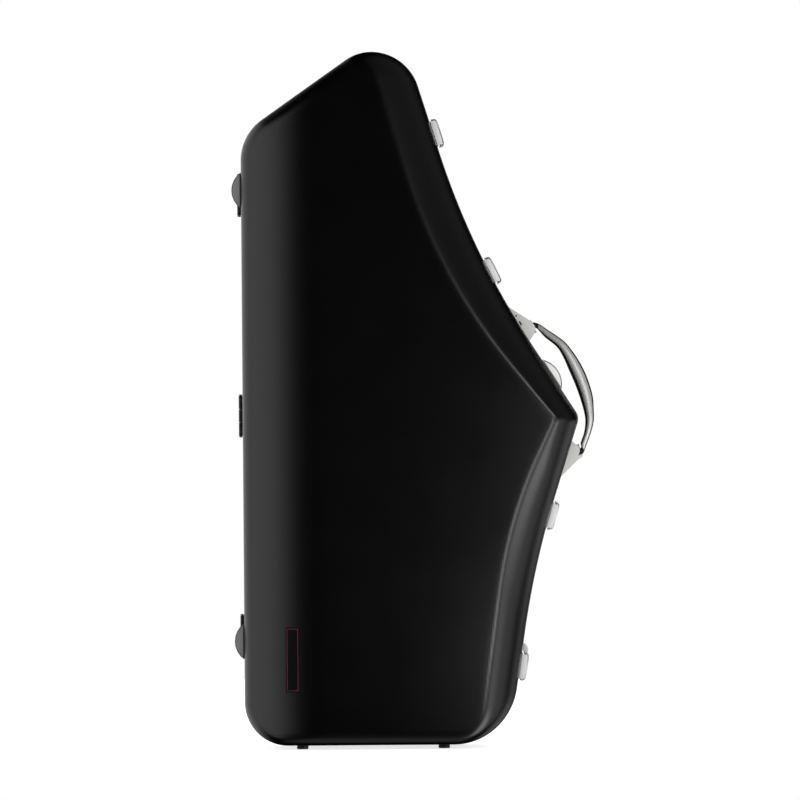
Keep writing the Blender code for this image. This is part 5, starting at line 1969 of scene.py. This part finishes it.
@dataclass
class SpineBumper:
    """A half-moon rubber bumper on the spine wall, with painted shade on its rim."""

    node: str
    finishes: tuple[Finish, Finish] = (BUMPER_RUBBER, BUMPER_RIM_SHADE)
    slot: Slot = Slot.BUMPER
    edge: float = 1.1 * MM
    face_cosine: float = 0.93

    def inward(self) -> Vector:
        """The way to the wall, in the row frame."""
        return Vector((1, 0, 0))

    def build(self) -> None:
        """Builds the half-moon, with its darker painted-shade finish on the rim."""
        piece = refined(self.node, self.edge, 3, limit_degrees=50, against=self.inward())
        # Faces that turn away from the flat face take the rim's painted shade
        for polygon in piece.data.polygons:
            polygon.material_index = int(abs(polygon.normal.y) <= self.face_cosine)
        dress(piece, self.finishes, self.slot, body_of_node(self.node), [self.node])


@dataclass
class GripRest(SpineBumper):
    """The half-moon rest on the wall behind the grip, with grey painted shade on its rim."""

    node: str = "grip_rest"
    finishes: tuple[Finish, Finish] = (REST_NYLON, REST_RIM_SHADE)
    slot: Slot = Slot.GREY_PLASTIC
    edge: float = 1.3 * MM
    height: float = 405 * MM

    def inward(self) -> Vector:
        """The way to the wall, in the row frame."""
        return TO_ROW.to_3x3() @ wall_frame(self.height).to_3x3() @ Vector((-1, 0, 0))


@dataclass
class RubberFoot:
    """A turned rubber foot with a sunk screw in its sole."""

    node: str
    radius: float = 6.5 * MM
    edge: float = 1.0 * MM
    fine_edge: float = 0.3 * MM
    groove: float = 0.4 * MM
    groove_low: float = 2.6 * MM
    groove_high: float = 3.6 * MM
    sink: float = 1.6 * MM
    bore: float = 2.6 * MM
    screw: float = 2.2 * MM
    sides: int = 32

    def build(self, fasteners: Fasteners) -> None:
        """Builds the foot and notes its screw.

        Args:
            fasteners: Takes the screw.
        """
        low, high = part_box(self.node)
        middle = (low + high) / 2
        body = body_of_node(self.node)
        slim, fine = self.radius - self.groove, self.fine_edge
        outline = (
            (0, self.sink), (self.bore, self.sink), (self.bore, fine),
            (self.bore + self.groove, 0), (self.radius - self.edge, 0),
            (self.radius - fine, fine), (self.radius, self.edge),
            (self.radius, self.groove_low), (slim, self.groove_low + fine),
            (slim, self.groove_high - fine), (self.radius, self.groove_high))
        top = high.z
        profile = [(radius, low.z + height) for radius, height in outline]
        profile += [(self.radius, top - self.groove), (slim, top), (0, top)]
        mesh = bmesh.new()
        lathe_mesh(mesh, profile, self.sides, Matrix.Translation((middle.x, middle.y, 0)))
        foot = closed_object(f"{self.node}_moulding", mesh, sharp_degrees=35)
        dress(foot, [FOOT_RUBBER], Slot.RUBBER, body, [self.node])
        fasteners.add(body, Vector((middle.x, middle.y, low.z + self.sink)),
                      Vector((0, 0, -1)), self.screw)


# ---- strap anchors


@dataclass
class StrapAnchor:
    """A sleeve on a plate on the back, with a hanging D-ring and two rivets."""

    number: int
    x: float
    z: float
    back: float = 98.3 * MM
    plate: float = 2.2 * MM
    wire: float = 1.6 * MM
    gap: float = 0.5 * MM
    half_width: float = 14 * MM
    drop: float = 9 * MM
    bend: float = 3.2 * MM
    rivet_out: float = 13 * MM
    rivet: float = 2.2 * MM
    edge: float = 0.5 * MM
    ring_sides: int = 14
    ring_steps: int = 28
    bend_steps: int = 6

    def ring_path(self) -> list[Vector]:
        """Lists the points of the ring's centre line, round its bow and both bends."""
        turns = [math.pi * (1 + step / self.ring_steps) for step in range(self.ring_steps + 1)]
        points = [Vector((math.cos(turn), 0, math.sin(turn))) * self.half_width
                  - Vector((0, 0, self.drop)) for turn in turns]
        side = self.half_width - self.bend
        for centre_x, turn in ((side, 0.0), (-side, 1.0)):
            for step in range(self.bend_steps + 1):
                angle = QUARTER_TURN * (turn + step / self.bend_steps)
                points.append(Vector((centre_x + self.bend * math.cos(angle), 0,
                                      -self.bend + self.bend * math.sin(angle))))
        return points

    def ring(self, place: Vector) -> Piece:
        """Builds the D-ring as a bent wire.

        Args:
            place: Middle of its straight bar, in the case's frame.

        Returns:
            The ring, in the row frame.
        """
        path = self.ring_path()
        mesh = bmesh.new()
        across = Vector((0, 1, 0))
        rings = []
        for i, point in enumerate(path):
            along = (path[(i + 1) % len(path)] - path[i - 1]).normalized()
            side = along.cross(across).normalized()
            turns = (math.tau * k / self.ring_sides for k in range(self.ring_sides))
            rings.append([mesh.verts.new(place + point + (
                side * math.cos(turn) + across * math.sin(turn)) * self.wire) for turn in turns])
        for near, far in zip(rings, rings[1:] + rings[:1]):
            join_rings(mesh, near, far)
        ring = closed_object(f"d_ring_{self.number}_wire", mesh, TO_ROW)
        ring.data.shade_smooth()
        return ring

    def build(self, fasteners: Fasteners) -> None:
        """Builds the anchor and its ring, and notes its rivets.

        Args:
            fasteners: Takes the rivets.
        """
        dress_packed(f"strap_anchor_{self.number}", self.edge, RIM, Slot.RIM)
        axis_y = self.back + self.plate + self.wire + self.gap
        node = f"d_ring_{self.number}"
        dress(self.ring(Vector((self.x, axis_y, self.z))), [STEEL], Slot.STEEL,
              body_of_node(node), [node])
        for sign in (1, -1):
            seat = TO_ROW @ Vector((self.x + sign * self.rivet_out, self.back + self.plate,
                                    self.z))
            fasteners.add(Body.BASE, seat, Vector((0, 1, 0)), self.rivet)


# ---- blank plate


@dataclass
class BlankPlate:
    """A blank enamelled plate low on the lid, bent to the round of the spine."""

    centre_x: float = 54.7 * MM
    centre_z: float = 97 * MM
    width: float = 15.5 * MM
    height: float = 73 * MM
    radius: float = 1.4 * MM
    least_radius: float = 0.3 * MM
    frame_width: float = 0.9 * MM
    thickness: float = 0.8 * MM
    edge: float = 0.25 * MM
    foot: float = 0.3 * MM
    sunk: float = 0.35 * MM
    line_inset: float = 1.5 * MM
    line_width: float = 0.45 * MM
    cuts: int = 12

    def build(self) -> None:
        """Builds the plate on the lid's skin."""
        floor = self.thickness - self.sunk
        steps = (
            (0.0, -self.foot), (0.0, self.thickness - self.edge), (self.edge, self.thickness),
            (self.frame_width, self.thickness), (self.frame_width + self.edge, floor),
            (self.line_inset, floor), (self.line_inset + self.line_width, floor))
        mesh = bmesh.new()
        loops = []
        for inset, level in steps:
            outline = rounded_rectangle(self.width - 2 * inset, self.height - 2 * inset,
                                        max(self.radius - inset, self.least_radius), 5)
            loops.append([mesh.verts.new((p.x, -level, p.y)) for p in outline])
        for near, far in zip(loops, loops[1:]):
            for face in join_rings(mesh, near, far):
                face.material_index = int(far is loops[-1])
        mesh.faces.new(loops[-1])
        mesh.faces.new(loops[0][::-1])
        for k in range(1, self.cuts):
            x = self.width * (k / self.cuts - 0.5)
            bmesh.ops.bisect_plane(mesh, geom=mesh.verts[:] + mesh.edges[:] + mesh.faces[:],
                                   plane_co=(x, 0, 0), plane_no=(1, 0, 0))
        for vertex in mesh.verts:
            x = self.centre_x + vertex.co.x
            vertex.co = Vector((x, vertex.co.y - LID_SHELL.top(x, 0),
                                self.centre_z + vertex.co.z))
        plate = closed_object("blank_plate", mesh, TO_ROW, 30)
        dress(plate, [PLATE, PLATE_LINE], Slot.RIM, Body.LID)


# ---- studio


@dataclass(frozen=True)
class Panel:
    """One soft panel of the studio as reflections see it: a lobe round a direction.

    Angles are in degrees; squash above 1 makes the lobe lower than it is wide.
    """

    way: tuple[float, float, float]
    inner: float
    outer: float
    level: float
    squash: float = 1.0


@dataclass(frozen=True)
class Lamp:
    """One soft rectangular lamp: its middle and aim in metres, its size and its watts."""

    name: str
    place: tuple[float, float, float]
    aim: tuple[float, float, float]
    size: tuple[float, float]
    watts: float
    in_reflections: bool = True

    def hang(self) -> None:
        """Hangs the lamp in the scene."""
        data = bpy.data.lights.new(self.name, "AREA")
        data.shape = "RECTANGLE"
        data.size, data.size_y = self.size
        data.energy = self.watts
        lamp = bpy.data.objects.new(self.name, data)
        lamp.location = self.place
        way = Vector(self.aim) - Vector(self.place)
        lamp.rotation_euler = way.to_track_quat("-Z", "Y").to_euler()
        lamp.visible_camera = False
        lamp.visible_glossy = self.in_reflections
        bpy.context.scene.collection.objects.link(lamp)


@dataclass
class Studio:
    """Camera at the photograph's place, white table, soft lamps and surroundings."""

    distance: float = 12.0
    picture_width: float = 800 * 1.12635 * MM
    near_wall: float = 82 * MM
    centre_x: float = 178.04 * MM
    centre_z: float = 388.65 * MM
    roll: float = math.radians(0.45)
    table: tuple[float, float, float, float] = (-0.9, 0.75, -0.3, 3.0)
    table_lift: float = 0.75
    fill_level: float = 0.8
    flag_level: float = 0.004
    panels: tuple[Panel, ...] = (
        Panel((-0.94, -0.34, 0.0), 4, 53, 1.15, 2.0),
        Panel((-1.0, 0.7, 0.0), 25, 62, 0.8, 2.0),
        Panel((0.84, -0.5, -0.25), 6, 40, 1.8, 1.8),
        Panel((0.76, -0.4, -0.58), 8, 30, 3.6),
        Panel((0.1, -0.5, -0.86), 10, 46, 0.42),
        Panel((1.0, -0.08, -0.25), 8, 38, 0.7, 1.4),
        Panel((0.57, 0.77, -0.4), 6, 24, 0.4),
        Panel((0.92, -0.08, 0.4), 25, 62, 0.12),
        # The white backdrop behind the case
        Panel((0.0, 1.0, 0.0), 5, 15, 1.0),
    )
    lamps: tuple[Lamp, ...] = (
        Lamp("right_key", (0.32, -0.68, 0.28), (0.16, -0.09, 0.30), (0.16, 0.30), 0.6),
        Lamp("ridge_key", (0.42, -0.52, 0.56), (0.20, -0.09, 0.42), (0.14, 0.20), 0.45),
        Lamp("low_key", (0.26, -0.66, 0.08), (0.12, -0.09, 0.06), (0.20, 0.10), 0.4),
        Lamp("left_fill", (-1.4, -1.3, 0.6), (0, 0, 0.4), (1.2, 1.4), 16, False),
    )
    sensor: float = 36
    far_limit: float = 100

    def camera(self) -> None:
        """Sets the camera where the photograph was taken from."""
        data = bpy.data.cameras.new("front_camera")
        data.sensor_width = self.sensor
        data.lens = self.sensor * (self.distance - self.near_wall) / self.picture_width
        data.clip_end = self.far_limit
        camera = bpy.data.objects.new("front_camera", data)
        right = Vector((math.cos(self.roll), 0, -math.sin(self.roll)))
        up = Vector((math.sin(self.roll), 0, math.cos(self.roll)))
        turned = Matrix((right, up, right.cross(up))).transposed().to_4x4()
        turned.translation = TO_ROW @ Vector((self.centre_x, -self.distance, self.centre_z))
        camera.matrix_world = turned
        bpy.context.scene.collection.objects.link(camera)
        bpy.context.scene.camera = camera

    def floor(self) -> None:
        """Lays the white table, which stays white to the camera away from the shadow."""
        mesh = bmesh.new()
        left, right, front, back = self.table
        mesh.faces.new([mesh.verts.new((x, y, 0)) for x, y in (
            (left, front), (right, front), (right, back), (left, back))])
        floor = new_object("studio_floor", mesh)
        made = bpy.data.materials.new("white_studio_table")
        made.use_nodes = True
        tree = made.node_tree
        tree.nodes.clear()
        pale = add_node(tree, "ShaderNodeBsdfDiffuse", inputs={"Color": linear("#e6e6e6")})
        lift = combine(tree, "MULTIPLY", self.seen_straight(tree), self.table_lift)
        glow = add_node(tree, "ShaderNodeEmission", inputs={"Strength": lift})
        both = add_node(tree, "ShaderNodeAddShader", inputs={
            0: pale.outputs["BSDF"], 1: glow.outputs["Emission"]})
        add_node(tree, "ShaderNodeOutputMaterial", inputs={"Surface": both.outputs["Shader"]})
        floor.data.materials.append(made)
        floor.visible_glossy = False

    @staticmethod
    def seen_straight(tree: Tree) -> Socket:
        """Gives 1 where the camera sees a place straight or through glass, and else 0."""
        path = add_node(tree, "ShaderNodeLightPath")
        return combine(tree, "MAXIMUM", path.outputs["Is Camera Ray"],
                       path.outputs["Is Transmission Ray"])

    def world(self) -> None:
        """Makes the surroundings: white to the camera, soft panels and flags in reflections."""
        world = bpy.data.worlds.new("white_studio")
        world.use_nodes = True
        bpy.context.scene.world = world
        tree = world.node_tree
        tree.nodes.clear()
        way = add_node(tree, "ShaderNodeTexCoord").outputs["Generated"]
        seen = self.flag_level
        kind = "ShaderNodeVectorMath"
        for panel in self.panels:
            squash = Vector((1, 1, panel.squash))
            flat = add_node(tree, kind, {"operation": "MULTIPLY"}, {0: way, 1: squash})
            unit = add_node(tree, kind, {"operation": "NORMALIZE"}, {0: flat.outputs["Vector"]})
            facing = add_node(tree, kind, {"operation": "DOT_PRODUCT"}, {
                0: unit.outputs["Vector"], 1: (Vector(panel.way) * squash).normalized()})
            glow = add_node(tree, "ShaderNodeMapRange", {"interpolation_type": "SMOOTHSTEP"}, {
                "Value": facing.outputs["Value"],
                "From Min": math.cos(math.radians(panel.outer)),
                "From Max": math.cos(math.radians(panel.inner)),
                "To Min": self.flag_level, "To Max": panel.level})
            seen = combine(tree, "MAXIMUM", seen, glow.outputs["Result"])
        path = add_node(tree, "ShaderNodeLightPath")
        lit = add_node(tree, "ShaderNodeMix", {"data_type": "FLOAT"}, {
            0: path.outputs["Is Diffuse Ray"], 2: seen, 3: self.fill_level})
        shown = add_node(tree, "ShaderNodeMix", {"data_type": "FLOAT"}, {
            0: self.seen_straight(tree), 2: lit.outputs[0], 3: 1.0})
        back = add_node(tree, "ShaderNodeBackground", inputs={
            "Color": (1, 1, 1, 1), "Strength": shown.outputs[0]})
        add_node(tree, "ShaderNodeOutputWorld", inputs={"Surface": back.outputs["Background"]})

    def build(self) -> None:
        """Sets up the whole studio."""
        bpy.context.scene.view_settings.view_transform = "Standard"
        self.camera()
        self.floor()
        self.world()
        for lamp in self.lamps:
            lamp.hang()


# ---- the whole case


STRAPS = (
    RetainingStrap("alto_strap", left=98.3 * MM, right=232.7 * MM, height=470 * MM),
    RetainingStrap("soprano_strap", left=21 * MM, right=111 * MM, height=400 * MM,
                   patch=34 * MM, lap=16 * MM),
)
HINGE_HEIGHTS = {"lower": 123 * MM, "middle": 372 * MM, "upper": 622 * MM}
LATCH_HEIGHTS = (86 * MM, 257 * MM, 533 * MM, 690 * MM)
ANCHOR_PLACES = ((140 * MM, 690 * MM), (115 * MM, 110 * MM), (235 * MM, 110 * MM))


def main() -> None:
    """Builds the studio and every sub-assembly of the case."""
    logging.basicConfig(level=logging.INFO, format="%(name)s: %(message)s")
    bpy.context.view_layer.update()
    Studio().build()
    fasteners = Fasteners("plated", STEEL, Slot.STEEL)
    black_screws = Fasteners("black", HINGE, Slot.HINGE)
    for shell in (LID_SHELL, BASE_SHELL):
        shell.build()
    RimSet().build()
    for node in ("base_bed", "lid_pad"):
        Lining(node).build()
    Stitching().build([line for strap in STRAPS for line in strap.build()], Body.BASE)
    for label, height in HINGE_HEIGHTS.items():
        SpineHinge(label, height).build(black_screws)
    for number, height in enumerate(LATCH_HEIGHTS, start=1):
        DrawLatch(number, height).build(fasteners)
    LatchCap().build()
    CarryingHandle().build()
    GripRest().build()
    for half in (Body.BASE, Body.LID):
        for label in ("lower", "upper"):
            SpineBumper(f"{label}_{half}_bumper").build()
        for label in ("inner", "outer"):
            RubberFoot(f"{label}_{half}_foot").build(fasteners)
    for number, (x, z) in enumerate(ANCHOR_PLACES, start=1):
        StrapAnchor(number, x, z).build(fasteners)
    BlankPlate().build()
    fasteners.build()
    black_screws.build()


if __name__ == "__main__":
    main()
